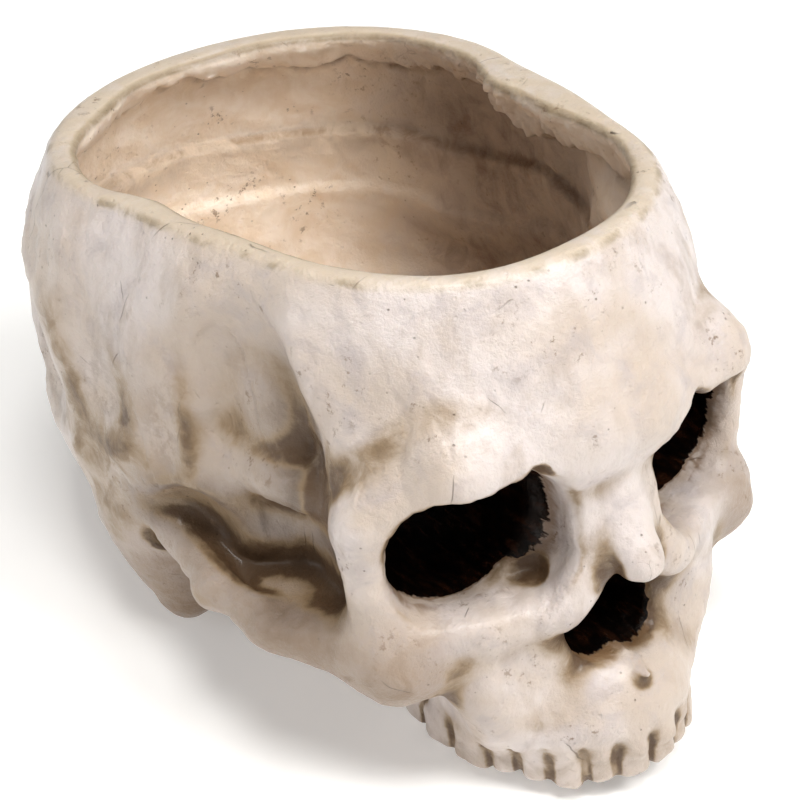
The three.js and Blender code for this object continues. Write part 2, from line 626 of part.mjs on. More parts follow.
function bulkheadBody() {
  const shank = SHANK_DIAMETER / 2, flange = FLANGE_DIAMETER / 2, spigot = BARB_DIAMETER / 2;
  const top = FLANGE_Z + FLANGE_THICKNESS;
  return turned([
    [AIR_BORE / 2, SWIVEL_TOP_Z], [SWIVEL_BORE / 2, SWIVEL_TOP_Z], [SWIVEL_BORE / 2, SHANK_END_Z],
    [shank - 0.8, SHANK_END_Z], [shank, SHANK_END_Z + 0.8], [shank, FLANGE_Z], [flange, FLANGE_Z],
    [flange, top - 0.8], [flange - 0.8, top], [spigot, top], [spigot, SPIGOT_TOP_Z - 0.5],
    [spigot - 0.5, SPIGOT_TOP_Z], [AIR_BORE / 2, SPIGOT_TOP_Z],
  ]);
}

function washer(z) {
  const inner = HOLE_DIAMETER / 2, outer = WASHER_DIAMETER / 2;
  return turned([[inner, z], [outer, z], [outer, z + WASHER_THICKNESS], [inner, z + WASHER_THICKNESS]]);
}

function bulkheadNut() {
  const across = NUT_ACROSS_FLATS / Math.sqrt(3);
  const hexagon = solidFrom(upright(across, NUT_Z, NUT_Z + NUT_THICKNESS, 6));
  const chamfer = solidFrom(turned([
    [0, NUT_Z], [across - 1.2, NUT_Z], [across, NUT_Z + 0.8], [across, NUT_Z + NUT_THICKNESS + 1],
    [0, NUT_Z + NUT_THICKNESS + 1],
  ], 36));
  const hole = solidFrom(upright(HOLE_DIAMETER / 2, NUT_Z - 1, NUT_Z + NUT_THICKNESS + 1, 40));
  return geometryFrom(hexagon.intersect(chamfer).subtract(hole));
}

function elbowPin() {
  const r = SWIVEL_BORE / 2 - RUNNING_GAP, groove = SWIVEL_BORE / 2 - ORING_THICKNESS - 0.3;
  const half = ORING_THICKNESS / 2 + 0.2;
  return turned([
    [0, ARM_Z], [r, ARM_Z], [r, ORING_Z - half], [groove, ORING_Z - half], [groove, ORING_Z + half],
    [r, ORING_Z + half], [r, PIN_TOP_Z - 0.4], [r - 0.4, PIN_TOP_Z], [0, PIN_TOP_Z],
  ]);
}

// The hose barb along -Y, with three ridges that let a hose slide on and hold it there.
function elbowArm() {
  const body = ELBOW_DIAMETER / 2, barb = BARB_DIAMETER / 2, ridge = barb + BARB_RIDGE;
  const outline = [[0, -body], [body, -body], [body, 9], [barb, 9], [barb, 12]];
  for (let i = 0; i < 3; i++) outline.push([ridge, 12 + i * 4], [barb, 15 + i * 4]);
  outline.push([barb, ELBOW_REACH], [0, ELBOW_REACH]);
  return turned(outline, 20).rotateX(Math.PI / 2).translate(0, 0, ARM_Z);
}

function inletElbow() {
  const collar = upright(ELBOW_DIAMETER / 2 + 1, ARM_Z, ELBOW_TOP_Z, 24);
  const down = upright(AIR_BORE / 2, ARM_Z, PIN_TOP_Z + 1, 16);
  const along = upright(AIR_BORE / 2, 0, ELBOW_REACH + 1, 16).rotateX(Math.PI / 2).translate(0, 0, ARM_Z);
  return geometryFrom(
    solidFrom(elbowPin()).add(solidFrom(collar)).add(solidFrom(elbowArm()))
      .subtract(solidFrom(down)).subtract(solidFrom(along)),
  );
}

function elbowOring() {
  const middle = SWIVEL_BORE / 2 - 0.15 - ORING_THICKNESS / 2;
  return new THREE.TorusGeometry(middle, ORING_THICKNESS / 2, 8, 28).translate(0, 0, ORING_Z);
}

// ---- The air stone, which lifts off the spigot with its sleeve ----
function airStoneSleeve() {
  const inner = BARB_DIAMETER / 2 + 0.15, outer = inner + SLEEVE_WALL;
  const top = SLEEVE_Z + SLEEVE_LENGTH;
  return turned([[inner, SLEEVE_Z], [outer, SLEEVE_Z], [outer, top], [inner, top]], 24);
}

function airStoneNipple() {
  const tube = BARB_DIAMETER / 2, plug = 4, top = STONE_Z + 5;
  return turned([
    [AIR_BORE / 2, NIPPLE_Z], [tube, NIPPLE_Z], [tube, STONE_Z], [plug, STONE_Z + 0.6], [plug, top],
    [AIR_BORE / 2, top],
  ], 24);
}

function airStone() {
  const r = STONE_DIAMETER / 2, top = STONE_Z + STONE_LENGTH, pocket = 4 + GAP;
  return turned([
    [pocket, STONE_Z], [r - 2, STONE_Z], [r - 0.6, STONE_Z + 0.6], [r, STONE_Z + 2], [r, top - 3],
    [r - 0.9, top - 0.9], [r - 3, top], [0, top], [0, STONE_Z + 6], [pocket, STONE_Z + 5 + GAP],
  ], 32);
}

function footPad([x, y]) {
  const r = PAD_DIAMETER / 2;
  return turned([[0, 0], [r - 0.6, 0], [r, 0.6], [r, PAD_THICKNESS], [0, PAD_THICKNESS]], 24)
    .translate(x, y, 0);
}

// ---- Assembly ----
const FINISHES = {
  resin: { color: 0xd8c8ac, roughness: 0.45 },
  nylon: { color: 0x2b2b2d, roughness: 0.5 },
  silicone: { color: 0xd9dcdd, roughness: 0.4 },
  rubber: { color: 0x1c1c1c, roughness: 0.7 },
  ceramic: { color: 0x6f86a0, roughness: 0.95 },
};
const ornament = new THREE.Group();

function place(name, geometry, finish, onAxis = false) {
  const mesh = new THREE.Mesh(geometry, new THREE.MeshStandardMaterial(FINISHES[finish]));
  mesh.name = name;
  if (onAxis) mesh.position.y = AXIS_Y;
  ornament.add(mesh);
}

place("skull_casting", skullGeometry(), "resin");
place("bulkhead_body", bulkheadBody(), "nylon", true);
place("bulkhead_nut", bulkheadNut(), "nylon", true);
place("upper_washer", washer(UPPER_WASHER_Z), "silicone", true);
place("lower_washer", washer(LOWER_WASHER_Z), "silicone", true);
place("inlet_elbow", inletElbow(), "nylon", true);
place("elbow_oring", elbowOring(), "rubber", true);
place("air_stone_sleeve", airStoneSleeve(), "silicone", true);
place("air_stone_nipple", airStoneNipple(), "nylon", true);
place("air_stone", airStone(), "ceramic", true);
["pad_front_right", "pad_front_left", "pad_back_right", "pad_back_left"].forEach(
  (name, i) => place(name, footPad(PAD_PLACES[i]), "silicone"),
);

// The origin goes to the middle of the footprint, which is already the same on both sides.
const footprint = new THREE.Box3().setFromObject(ornament);
ornament.position.y = -(footprint.min.y + footprint.max.y) / 2;

export default ornament;
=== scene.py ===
"""Looks of the bubbling ornament: a cast polyresin skull, sawn open as a bowl, with its air fitting and feet.

The casting is sculpted here as a solid described by distances, on a fine grid, and its surface is drawn
through that grid. All sculpt figures are millimetres in the skull's anatomical frame: origin midway between
the ear canals, X to the skull's own left, face towards -Y, sockets' lower rims level with the ear canals. The
result is then tipped back and put where the CAD casting stands.
"""

import functools
import math

import bpy
import numpy as np
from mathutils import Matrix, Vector


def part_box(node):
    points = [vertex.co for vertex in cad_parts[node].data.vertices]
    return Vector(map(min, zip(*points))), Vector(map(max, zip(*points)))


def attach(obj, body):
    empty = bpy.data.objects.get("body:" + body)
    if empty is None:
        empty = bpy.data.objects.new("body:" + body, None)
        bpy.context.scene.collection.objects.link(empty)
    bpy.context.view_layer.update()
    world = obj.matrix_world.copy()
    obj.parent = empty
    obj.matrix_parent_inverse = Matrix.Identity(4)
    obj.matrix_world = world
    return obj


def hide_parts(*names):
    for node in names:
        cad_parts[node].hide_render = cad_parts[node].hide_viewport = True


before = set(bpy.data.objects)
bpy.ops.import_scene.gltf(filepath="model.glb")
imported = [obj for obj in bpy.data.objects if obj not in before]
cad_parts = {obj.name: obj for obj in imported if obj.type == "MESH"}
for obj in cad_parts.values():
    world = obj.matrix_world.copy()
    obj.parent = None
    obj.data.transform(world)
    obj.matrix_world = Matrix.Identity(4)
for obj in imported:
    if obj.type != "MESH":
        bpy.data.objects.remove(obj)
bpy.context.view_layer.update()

# ---- Sizes, in millimetres ----
STEP = 0.85  # spacing of the sculpting grid
RIM_FRONT_Z, RIM_BACK_Z = 75.0, 90.0  # the saw cut's height at the forehead and at the back
RIM_FRONT_Y, RIM_LENGTH = -95.0, 183.0  # where along the skull those two heights are
WALL = 3.8
RIM_WALL = 5.8
# where round the rim the lip is thickest and roughest, and how far that spreads: radians from the face to +X
ROCKY, ROCKY_SPREAD = 1.4, 0.45
LIP_DEPTH = 8.0
LIP_ROUNDING = 5.0
FOLD_DROP, FOLD_STEP = 30.0, 4.2  # the fold in the bowl's wall: how far under the saw cut, and how thick
LOWER_FOLD_DROP, LOWER_FOLD_STEP = 17.0, 2.0  # a second, fainter fold, this far under the first
BOWL_FLOOR_Z = 4.0
SOCKET_DEPTH = 40.0
CROWN_HEIGHT = 9.0
PAD_THICKNESS = 2.0
BOSS_RADIUS, BOSS_HEIGHT = 7.0, 9.0  # the stubs over the feet
RECESS_PLAY, RECESS_ROUNDING = 8.0, 12.0  # room for a hose and fingers round the elbow
SEAT_PLAY, SEAT_HEADROOM = 1.5, 16.0
HOLE_RADIUS, HOLE_REACH = 7.3, 14.0
GAP = 0.3
FAR = 60.0  # the field's value where nothing has been added yet
MOST_TRIANGLES = 190000
FITTING_Y = 6.0  # the air fitting, behind the point that the skull is tipped about


# ---- Distance shapes. Each gives (distance function of x, y, z arrays, lowest corner, highest corner) ----
def turn(yaw, pitch=0.0, roll=0.0):
    """Rotation matrix: roll about Y, then pitch about X, then yaw about Z, in degrees."""
    a, b, c = (math.radians(v) for v in (yaw, pitch, roll))
    rz = np.array([[math.cos(a), -math.sin(a), 0], [math.sin(a), math.cos(a), 0], [0, 0, 1]])
    rx = np.array([[1, 0, 0], [0, math.cos(b), -math.sin(b)], [0, math.sin(b), math.cos(b)]])
    ry = np.array([[math.cos(c), 0, math.sin(c)], [0, 1, 0], [-math.sin(c), 0, math.cos(c)]])
    return (rz @ rx @ ry).astype(np.float32)


def local(m, cx, cy, cz, x, y, z):
    """Coordinates along a turned shape's axes: the offset from its centre times the rotation's columns."""
    dx, dy, dz = x - cx, y - cy, z - cz
    return [m[0, i] * dx + m[1, i] * dy + m[2, i] * dz for i in range(3)]


def ball(cx, cy, cz, rx, ry, rz, yaw=0.0, pitch=0.0, roll=0.0):
    """An ellipsoid: how far out in radii, times that less one, over the gradient of the radii."""
    m = turn(yaw, pitch, roll)
    r = max(rx, ry, rz) if yaw or pitch or roll else None
    half = np.array([r, r, r] if r else [rx, ry, rz])

    def distance(x, y, z):
        if r:
            u, v, w = local(m, cx, cy, cz, x, y, z)
        else:
            u, v, w = x - cx, y - cy, z - cz
        u, v, w = u / rx, v / ry, w / rz
        near = np.sqrt(u * u + v * v + w * w)
        slope = np.sqrt((u / rx) ** 2 + (v / ry) ** 2 + (w / rz) ** 2) + 1e-6
        return near * (near - 1) / slope

    centre = np.array([cx, cy, cz])
    return distance, centre - half, centre + half


def block(cx, cy, cz, hx, hy, hz, edge, yaw=0.0, pitch=0.0, roll=0.0):
    """A box with its edges rounded to a radius."""
    m = turn(yaw, pitch, roll)

    def distance(x, y, z):
        u, v, w = local(m, cx, cy, cz, x, y, z)
        u, v, w = np.abs(u) - hx + edge, np.abs(v) - hy + edge, np.abs(w) - hz + edge
        out = np.sqrt(np.maximum(u, 0) ** 2 + np.maximum(v, 0) ** 2 + np.maximum(w, 0) ** 2)
        return out + np.minimum(np.maximum(np.maximum(u, v), w), 0) - edge

    half = np.abs(m) @ np.array([hx, hy, hz])
    centre = np.array([cx, cy, cz])
    return distance, centre - half, centre + half


def rod(ax, ay, az, ar, bx, by, bz, br):
    """A tapered rod with round ends: distance to a line less a radius that changes along it."""
    ex, ey, ez = bx - ax, by - ay, bz - az
    length2 = ex * ex + ey * ey + ez * ez

    def distance(x, y, z):
        dx, dy, dz = x - ax, y - ay, z - az
        h = np.clip((dx * ex + dy * ey + dz * ez) / length2, 0, 1)
        return np.sqrt((dx - ex * h) ** 2 + (dy - ey * h) ** 2 + (dz - ez * h) ** 2) - ar - (br - ar) * h

    low = np.minimum([ax - ar, ay - ar, az - ar], [bx - br, by - br, bz - br])
    high = np.maximum([ax + ar, ay + ar, az + ar], [bx + br, by + br, bz + br])
    return distance, low, high


def smooth_min(a, b, k):
    """The smaller of two fields, less a parabola of height k / 4 where they are within k of each other."""
    h = np.maximum(k - np.abs(a - b), 0)
    return np.minimum(a, b) - h * h / (4 * max(k, 1e-6))


def smooth_max(a, b, k):
    """The larger of two fields, rounded in the same way."""
    return -smooth_min(-a, -b, k)


def smoothstep(v, low, high):
    """0 below low, 1 above high, and an S-shaped cubic between."""
    t = np.clip((v - low) / (high - low), 0, 1)
    return t * t * (3 - 2 * t)


# ---- The skull, as blended additions (+) and cuts (-). Pairs are on both sides ----
VAULT = [
    ("+", ball(0, 22, 50, 70, 64, 63), 0),
    ("+", ball(0, -33, 46, 59, 61, 62), 20),  # frontal dome
    ("+", ball(0, -8, 46, 65, 62, 61), 8),  # coronal girth
    ("+", ball(0, 50, 28, 54, 38, 42), 18),  # occiput
    ("+", ball(43, 2, 22, 25, 40, 27), 16),  # temporal squama
    ("+", ball(0, 28, 17, 66, 59, 36), 12),  # lower braincase
    ("+", ball(0, 42, 0, 54, 36, 25), 14),  # nape
]
POCKET = ball(72, -28, 8.5, 17, 30, 15, 0, 0, -12)
FLUTES = [
    ("-", rod(72, -19, 54, 5, 72, -15, 34, 5), 12),
    ("-", rod(76, 12, 56, 5, 75, 9, 38, 6), 12),
    ("-", rod(70, 46, 48, 5, 71, 43, 30, 5), 12),
]
BRAINCASE = [
    ("+", ball(0, -24, 2, 34, 44, 22), 12),  # skull base
    ("-", ball(80, -45, 34, 34, 27, 50), 3),  # temporal fossa
    ("-", ball(80, -42, 56, 29, 26, 34), 3),
    ("-", ball(68, -44, 8, 23, 16, 24), 5),
    ("+", ball(37, -54, 12, 12, 17, 22), 8),  # greater wing
    ("+", ball(48, -34, -7, 15, 26, 7), 5),  # resin web inside the arch
    ("+", rod(60, 6, 30, 6, 51, -46, 27, 5), 9),  # swell over the pocket, then the pocket over the arch
    ("-", POCKET, 3),
    ("+", ball(47, -34, 43, 6.5, 9, 11), 8),
    *FLUTES,
    ("+", rod(8, 86, 12, 3, 46, 66, 6, 3), 9),  # nuchal line
    ("+", rod(62, -2, 5, 4, 66, 24, 20, 2), 7),  # supramastoid crest
    ("+", rod(56, 13, 0, 14, 53, 15, -23, 8.5), 6),  # mastoid process
    ("+", ball(52, 25, -2, 14, 16, 18), 8),
    ("-", rod(41, 8, -24, 3, 43, 30, -22, 3), 4),  # digastric notch
]
FACE = [
    ("+", ball(0, -84, 38, 16, 14, 11), 8),  # glabella
    ("+", rod(10, -88, 37, 6, 36, -84, 38, 5.5), 14),  # brow
    ("+", rod(36, -83, 37, 5.5, 52, -69, 27, 5), 14),
    ("+", ball(0, -74, 14, 12.5, 18, 26), 6),  # between the sockets
    ("+", rod(9, -86, 20, 4.5, 16, -87, -4, 5), 6),
    ("+", rod(0, -87, 25, 6.5, 0, -97, 6, 5), 6),  # nasal bones
    ("+", rod(5, -84, 20, 6, 10, -87, 0, 4.5), 7),
    ("+", ball(45, -66, -9, 13, 12, 13, -25), 8),  # cheekbone
    ("+", rod(52, -69, 26, 5, 49, -67, 0, 6.5), 6),
    ("+", rod(46, -70, -4, 6, 20, -83, -4, 5.5), 5),
    ("+", ball(21, -67, -20, 19, 19, 22), 8),  # maxilla
    ("+", ball(0, -62, -36, 31, 34, 13), 8),
    ("+", ball(0, -80, -32, 19, 15, 14), 7),
    ("+", rod(53, -60, -8, 6.5, 63, -42, -5, 4.4), 6),  # arch of the cheek
    ("+", rod(63, -42, -5, 4.4, 65, -24, -2, 4), 3),
    ("+", rod(65, -24, -2, 4, 60, -4, 4, 6), 5),
    ("+", ball(55, -18, -6, 9, 6, 6), 4),
    ("-", rod(74, -1, 1, 4.5, 52, 0, 1, 3), 2),  # ear canal
    ("-", ball(53, -8, -7, 9, 5, 6), 4),  # jaw socket
    ("+", ball(17, -42, -22, 6, 8, 18), 5),  # pterygoid plates
    ("-", ball(0, -58, -52, 21, 30, 15), 4),  # palate
    ("-", ball(27, -93, -20, 9, 7, 10), 8),  # canine fossa
    ("-", ball(45, -62, -32, 12, 16, 11), 8),
    ("-", ball(22, -91, 34, 2, 4, 2.5), 3),
]
SOCKET = [
    ("-", block(31.5, -86, 17, 20, 18, 17, 13, 12), 3),
    ("-", ball(29, -84 + SOCKET_DEPTH / 2, 17, 18.5, SOCKET_DEPTH / 2 + 4, 16, 14), 3),
]
NOSE = [
    ("-", rod(0, -112, -3, 5, 0, -66, -5, 5), 2.5),
    ("-", rod(5, -112, -15, 7.5, 4.5, -66, -14, 7), 2),
]
SPINE = [("+", rod(0, -88, -26, 3, 0, -96, -24.5, 1.4), 2)]

# ---- Teeth, along a half ellipse ----
ARCH_HALF_WIDTH, ARCH_FRONT, ARCH_BACK = 27.5, -93.0, -52.0
TOOTH_WIDTHS = (8.6, 6.8, 7.6, 7, 6.8, 10, 9.6, 8.6)  # from the middle incisor back
TOOTH_DEPTHS = (6, 6, 7.5, 8.5, 8.5, 10.5, 10.5, 9.5)


def gum_height(y):
    """Where crown meets gum: a line that rises slowly towards the back teeth."""
    return -43 + 0.14 * (y - ARCH_FRONT)


def teeth():
    """A worn crown and the swell of its root for each tooth, spaced by width round the arch."""
    crowns, roots, gaps = [], [], []
    run, angle = ARCH_BACK - ARCH_FRONT, 0.0
    for i, (width, deep) in enumerate(zip(TOOTH_WIDTHS, TOOTH_DEPTHS)):
        for half in (0, 1):
            speed = math.hypot(ARCH_HALF_WIDTH * math.cos(angle), run * math.sin(angle))
            angle += width * 0.48 / speed
            if half == 0:
                middle = angle
        x, y = ARCH_HALF_WIDTH * math.sin(middle), ARCH_BACK - run * math.cos(middle)
        yaw = math.degrees(math.atan2(run * math.sin(middle), ARCH_HALF_WIDTH * math.cos(middle)))
        g, h = gum_height(y), CROWN_HEIGHT / 2
        lean, wear = 4 * math.sin(i * 2.3), 0.7 * math.sin(i * 1.9 + 0.6)
        crown = block(x, y, g - h + 1 + wear, width / 2 + 0.1, deep / 2, h + 1, 2.6, yaw + 2 * wear, 0, lean)
        crowns.append(("+", crown, 1.2))
        ox, oy = x * 1.06, ARCH_BACK + (y - ARCH_BACK) * 1.045
        roots.append(("+", rod(ox, oy, g, width * 0.36, x * 0.96, y + 2, g + 16, 2), 2.2))
        gx, gy = ARCH_HALF_WIDTH * math.sin(angle), ARCH_BACK - run * math.cos(angle)
        out = np.array([gx / ARCH_HALF_WIDTH**2, (gy - ARCH_BACK) / run**2])
        out = out / np.hypot(*out) * (deep / 2 + 0.6)
        low, high = (gx + out[0], gy + out[1]), (gx + out[0] * 1.15, gy + out[1] * 1.15)
        gaps.append(("-", rod(*low, g - 10, 0.9, *high, g + 3, 0.4), 1.2))
    return [*roots, *crowns, *gaps]


# ---- Standing pose: tipped back on the back teeth and the nape ----
REST_FRONT_Y, REST_FRONT_Z = -58.0, gum_height(-58.0) - CROWN_HEIGHT
REST_BACK_Y, REST_BACK_Z = 46.0, -25.0
TIP = math.atan2(REST_BACK_Z - REST_FRONT_Z, REST_BACK_Y - REST_FRONT_Y)
COS, SIN = math.cos(TIP), math.sin(TIP)
LIFT = PAD_THICKNESS + GAP - (REST_FRONT_Z * COS - REST_FRONT_Y * SIN)


def standing(points):
    """Points turned about X by the tip and lifted on to the feet."""
    x, y, z = points.T
    return np.stack([x, y * COS + z * SIN, z * COS - y * SIN + LIFT], 1)


# ---- Evaluating the sculpt ----
def apply(steps, field, axes, reach=12.0):
    """Blends each shape into the field, only in the part of the grid it can change."""
    for sign, (distance, low, high), blend in steps:
        cut = []
        for a, v in enumerate(axes):
            flat = v.ravel()
            i = np.searchsorted(flat, low[a] - blend - reach)
            j = np.searchsorted(flat, high[a] + blend + reach)
            cut.append(slice(int(i), int(j)))
        cut = tuple(cut)
        if any(s.stop <= s.start for s in cut):
            continue
        x, y, z = axes[0][cut[0]], axes[1][:, cut[1]], axes[2][:, :, cut[2]]
        here, e = field[cut], distance(x, y, z)
        field[cut] = smooth_min(here, e, blend) if sign == "+" else smooth_max(here, -e, blend)
    return field


def both_sides(half):
    """The half grid and its mirror image, which share the middle plane."""
    return np.concatenate([half[:0:-1], half])


def bell(v, middle, spread):
    """1 at the middle, falling off on both sides as a bell curve."""
    return np.exp(-(((v - middle) / spread) ** 2))


def waves(angle, terms):
    """A sum of sine waves round a circle, each (waves per turn, size, phase)."""
    return sum(size * np.sin(n * angle + phase) for n, size, phase in terms)


def rim_height(x, y):
    """The saw cut: a plane that rises to the back, with a slow hand-sawn wave."""
    level = RIM_FRONT_Z + (RIM_BACK_Z - RIM_FRONT_Z) * (y - RIM_FRONT_Y) / RIM_LENGTH
    return level + 0.5 * np.sin(x / 17 + 1) * np.sin(y / 23)


def fold_height(angle, rim):
    """The fold that runs round the bowl's wall, wandering up and down with the angle."""
    return rim - FOLD_DROP + waves(angle, ((2, 4, 0.8), (3, 3, 2.1), (5, 1.8, 0.4), (8, 1.0, 1.3)))


def lip_depth(angle):
    """How far down the thick lip reaches under the saw cut: ragged, as if broken off by hand, and deepest in
    its rocky stretch. A mean depth, a sum of sine waves round the rim and a bell curve."""
    broad = ((3, 1.4, 0.5), (5, 1.0, 2.0), (9, 1.1, 1.1))
    torn = ((17, 1.0, 0.3), (31, 0.7, 2.2), (47, 0.4, 0.9))
    return LIP_DEPTH + waves(angle, (*broad, *torn)) + 8 * bell(angle, ROCKY, ROCKY_SPREAD)


def bowl_hollow(vault, outside, x, y, z):
    """Negative in the bowl: the vault drawn in by the wall, which is thicker in a ragged lip under the saw
    cut and under the two folds that run round the inside."""
    angle = np.arctan2(x, -y)
    rim = rim_height(x, y)
    depth = lip_depth(angle)
    lip = smoothstep(z, rim - depth - 0.6, rim - depth + 0.6)
    fold_z = fold_height(angle, rim)
    fold = FOLD_STEP * smoothstep(fold_z - z, -1.2, 1.6) * smoothstep(z, fold_z - 34, fold_z - 6)
    lower = smoothstep(fold_z - LOWER_FOLD_DROP - z, -1.4, 2.2) * smoothstep(z, fold_z - 44, fold_z - 20)
    fold = fold + LOWER_FOLD_STEP * lower
    thick = 2.2 * smoothstep(np.abs(angle), 1.9, 2.6) + 4.5 * bell(angle, ROCKY, ROCKY_SPREAD)
    uneven = waves(angle, ((4, 0.6, 1.0), (7, 0.5, 0.2), (12, 0.4, 1.7)))
    wall = WALL + fold + (RIM_WALL + thick - WALL + uneven) * lip
    bowl = smooth_max(vault + wall, outside + WALL, 6)
    bowl = smooth_max(bowl, BOWL_FLOOR_Z - z, 16)
    shelf = ball(0, -66, 14, 60, 44, 34)[0](x, y, z)
    return smooth_max(bowl, -shelf, 12)


def sculpt():
    """The grid's axes and the field on it: negative in the resin, about the distance to its surface in mm."""
    half_x = np.arange(0, 76, STEP, dtype=np.float32)
    ys = np.arange(-112, 94, STEP, dtype=np.float32)
    zs = np.arange(-60, 100, STEP, dtype=np.float32)
    half = (half_x[:, None, None], ys[None, :, None], zs[None, None, :])
    vault = apply(VAULT, np.full((len(half_x), len(ys), len(zs)), FAR, np.float32), half, 200)
    outside = apply([*BRAINCASE, *FACE, *teeth(), *SOCKET, *NOSE, *SPINE], vault.copy(), half)
    vault, outside = both_sides(vault), both_sides(outside)
    x = np.concatenate([-half_x[:0:-1], half_x])[:, None, None]
    y, z = half[1], half[2]
    field = smooth_max(outside, z - rim_height(x, y), 1.8)
    bowl = bowl_hollow(vault, outside, x, y, z)
    field = smooth_max(field, -bowl, LIP_ROUNDING)
    return (x, y, z), drill(field, x, y, z), bowl


# ---- The machined features, in the standing frame and from the CAD pieces ----
def millimetres(node):
    """A CAD piece's lowest and highest corners."""
    low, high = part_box(node)
    return np.array(low) * 1000, np.array(high) * 1000


flange_low, flange_high = millimetres("bulkhead_body")
upper_low, _ = millimetres("upper_washer")
_, lower_high = millimetres("lower_washer")
AXIS = (flange_low + flange_high) / 2
SEAT_TOP, SEAT_UNDER = upper_low[2] - GAP, lower_high[2] + GAP
PAD_BOXES = [millimetres(n) for n in sorted(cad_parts) if n.startswith("pad_")]
SHIFT_Y = float(AXIS[1]) - FITTING_Y
elbow_low, _ = millimetres("inlet_elbow")
RECESS_RADIUS = AXIS[1] - elbow_low[1] + RECESS_PLAY
SEAT_RADIUS = (flange_high - flange_low)[0] / 2 + SEAT_PLAY
GROUND = PAD_THICKNESS + GAP


def drill(field, x, y, z):
    """Cuts the elbow's recess, the fitting's flat seat and hole, and the ground plane, and adds bosses over
    the feet. The recess, seat, hole and bosses are upright cylinders."""
    wy, wz = y * COS + z * SIN + SHIFT_Y, z * COS - y * SIN + LIFT
    from_axis = np.sqrt((x - AXIS[0]) ** 2 + (wy - AXIS[1]) ** 2)
    recess = smooth_max(from_axis - RECESS_RADIUS, wz - SEAT_UNDER, RECESS_ROUNDING)
    field = smooth_max(field, -recess, 1.5)
    seat = np.maximum(from_axis - SEAT_RADIUS, np.maximum(SEAT_TOP - wz, wz - SEAT_TOP - SEAT_HEADROOM))
    field = smooth_max(field, -seat, 0.8)
    for low, high in PAD_BOXES:
        cx, cy = (low[:2] + high[:2]) / 2
        boss = np.maximum(np.sqrt((x - cx) ** 2 + (wy - cy) ** 2) - BOSS_RADIUS, wz - GROUND - BOSS_HEIGHT)
        field = smooth_min(field, boss, 2)
    hole = np.maximum(from_axis - HOLE_RADIUS, np.abs(wz - SEAT_TOP) - HOLE_REACH)
    return np.maximum(np.maximum(field, -hole), GROUND - wz)


# ---- Surface through the grid ----
def surface(field, axes):
    """Surface nets: one point in each grid cell that the surface passes through, at the mean of its crossings
    of the cell's edges, and one four-sided face round each grid edge that it crosses."""
    inside = field < 0
    corners = [(i, j, k) for i in (0, 1) for j in (0, 1) for k in (0, 1)]
    size = np.array(field.shape) - 1
    count = np.zeros(size, np.uint8)
    for c in corners:
        count += inside[tuple(slice(o, o + n) for o, n in zip(c, size))]
    cells = np.argwhere((count > 0) & (count < 8))
    index = np.full(size, -1, np.int32)
    index[tuple(cells.T)] = np.arange(len(cells))
    total, crossings = np.zeros((len(cells), 3)), np.zeros(len(cells))
    for axis in range(3):
        step = np.eye(3, dtype=int)[axis]
        for c in corners:
            if c[axis]:
                continue
            a = field[tuple((cells + c).T)]
            b = field[tuple((cells + c + step).T)]
            hit = (a < 0) != (b < 0)
            t = np.where(hit, a / np.where(hit, a - b, 1), 0)
            total += hit[:, None] * (np.array(c) + t[:, None] * step)
            crossings += hit
    points = np.array([v.ravel()[0] for v in axes]) + STEP * (cells + total / crossings[:, None])
    faces = []
    for axis in range(3):
        u, v = (axis + 1) % 3, (axis + 2) % 3
        step, du, dv = (np.eye(3, dtype=int)[i] for i in (axis, u, v))
        a = inside[tuple(slice(1, n) if i != axis else slice(0, n) for i, n in enumerate(size))]
        b = inside[tuple(slice(1, n) if i != axis else slice(1, n + 1) for i, n in enumerate(size))]
        edges = np.argwhere(a != b)
        out = a[tuple(edges.T)]
        edges = edges + 1 - step
        ring = np.stack([index[tuple((edges - o).T)] for o in (du + dv, dv, 0 * du, du)], 1)
        faces.append(np.where(out[:, None], ring, ring[:, ::-1]))
    return points, np.concatenate(faces)


def sample(grid, axes, points):
    """The grid's value at each point, blended between its eight neighbours."""
    at = (points - np.array([v.ravel()[0] for v in axes])) / STEP
    at = np.clip(at, 0, np.array(grid.shape) - 1.001)
    low = at.astype(int)
    t = at - low
    value = 0
    for i in (0, 1):
        for j in (0, 1):
            for k in (0, 1):
                w = np.abs(1 - i - t[:, 0]) * np.abs(1 - j - t[:, 1]) * np.abs(1 - k - t[:, 2])
                value = value + w * grid[low[:, 0] + i, low[:, 1] + j, low[:, 2] + k]
    return value


def gradient(grid, axes, points, reach=1.0):
    """The grid's slope at each point, as a unit vector: differences over twice the reach along each axis."""
    steps = np.eye(3) * reach
    slope = np.stack([sample(grid, axes, points + s) - sample(grid, axes, points - s) for s in steps], 1)
    return slope / np.maximum(np.linalg.norm(slope, axis=1, keepdims=True), 1e-9)


def lumps(points, size, seed, count=14):
    """Soft random relief between about -1 and 1: a sum of sine waves in random directions, size mm long."""
    rng = np.random.default_rng(seed)
    total = np.zeros(len(points))
    for _ in range(count):
        way = rng.normal(size=3)
        way *= 2 * math.pi / size / np.linalg.norm(way) * rng.uniform(0.7, 1.4)
        total += np.sin(points @ way + rng.uniform(0, 6.3))
    return total / math.sqrt(count)


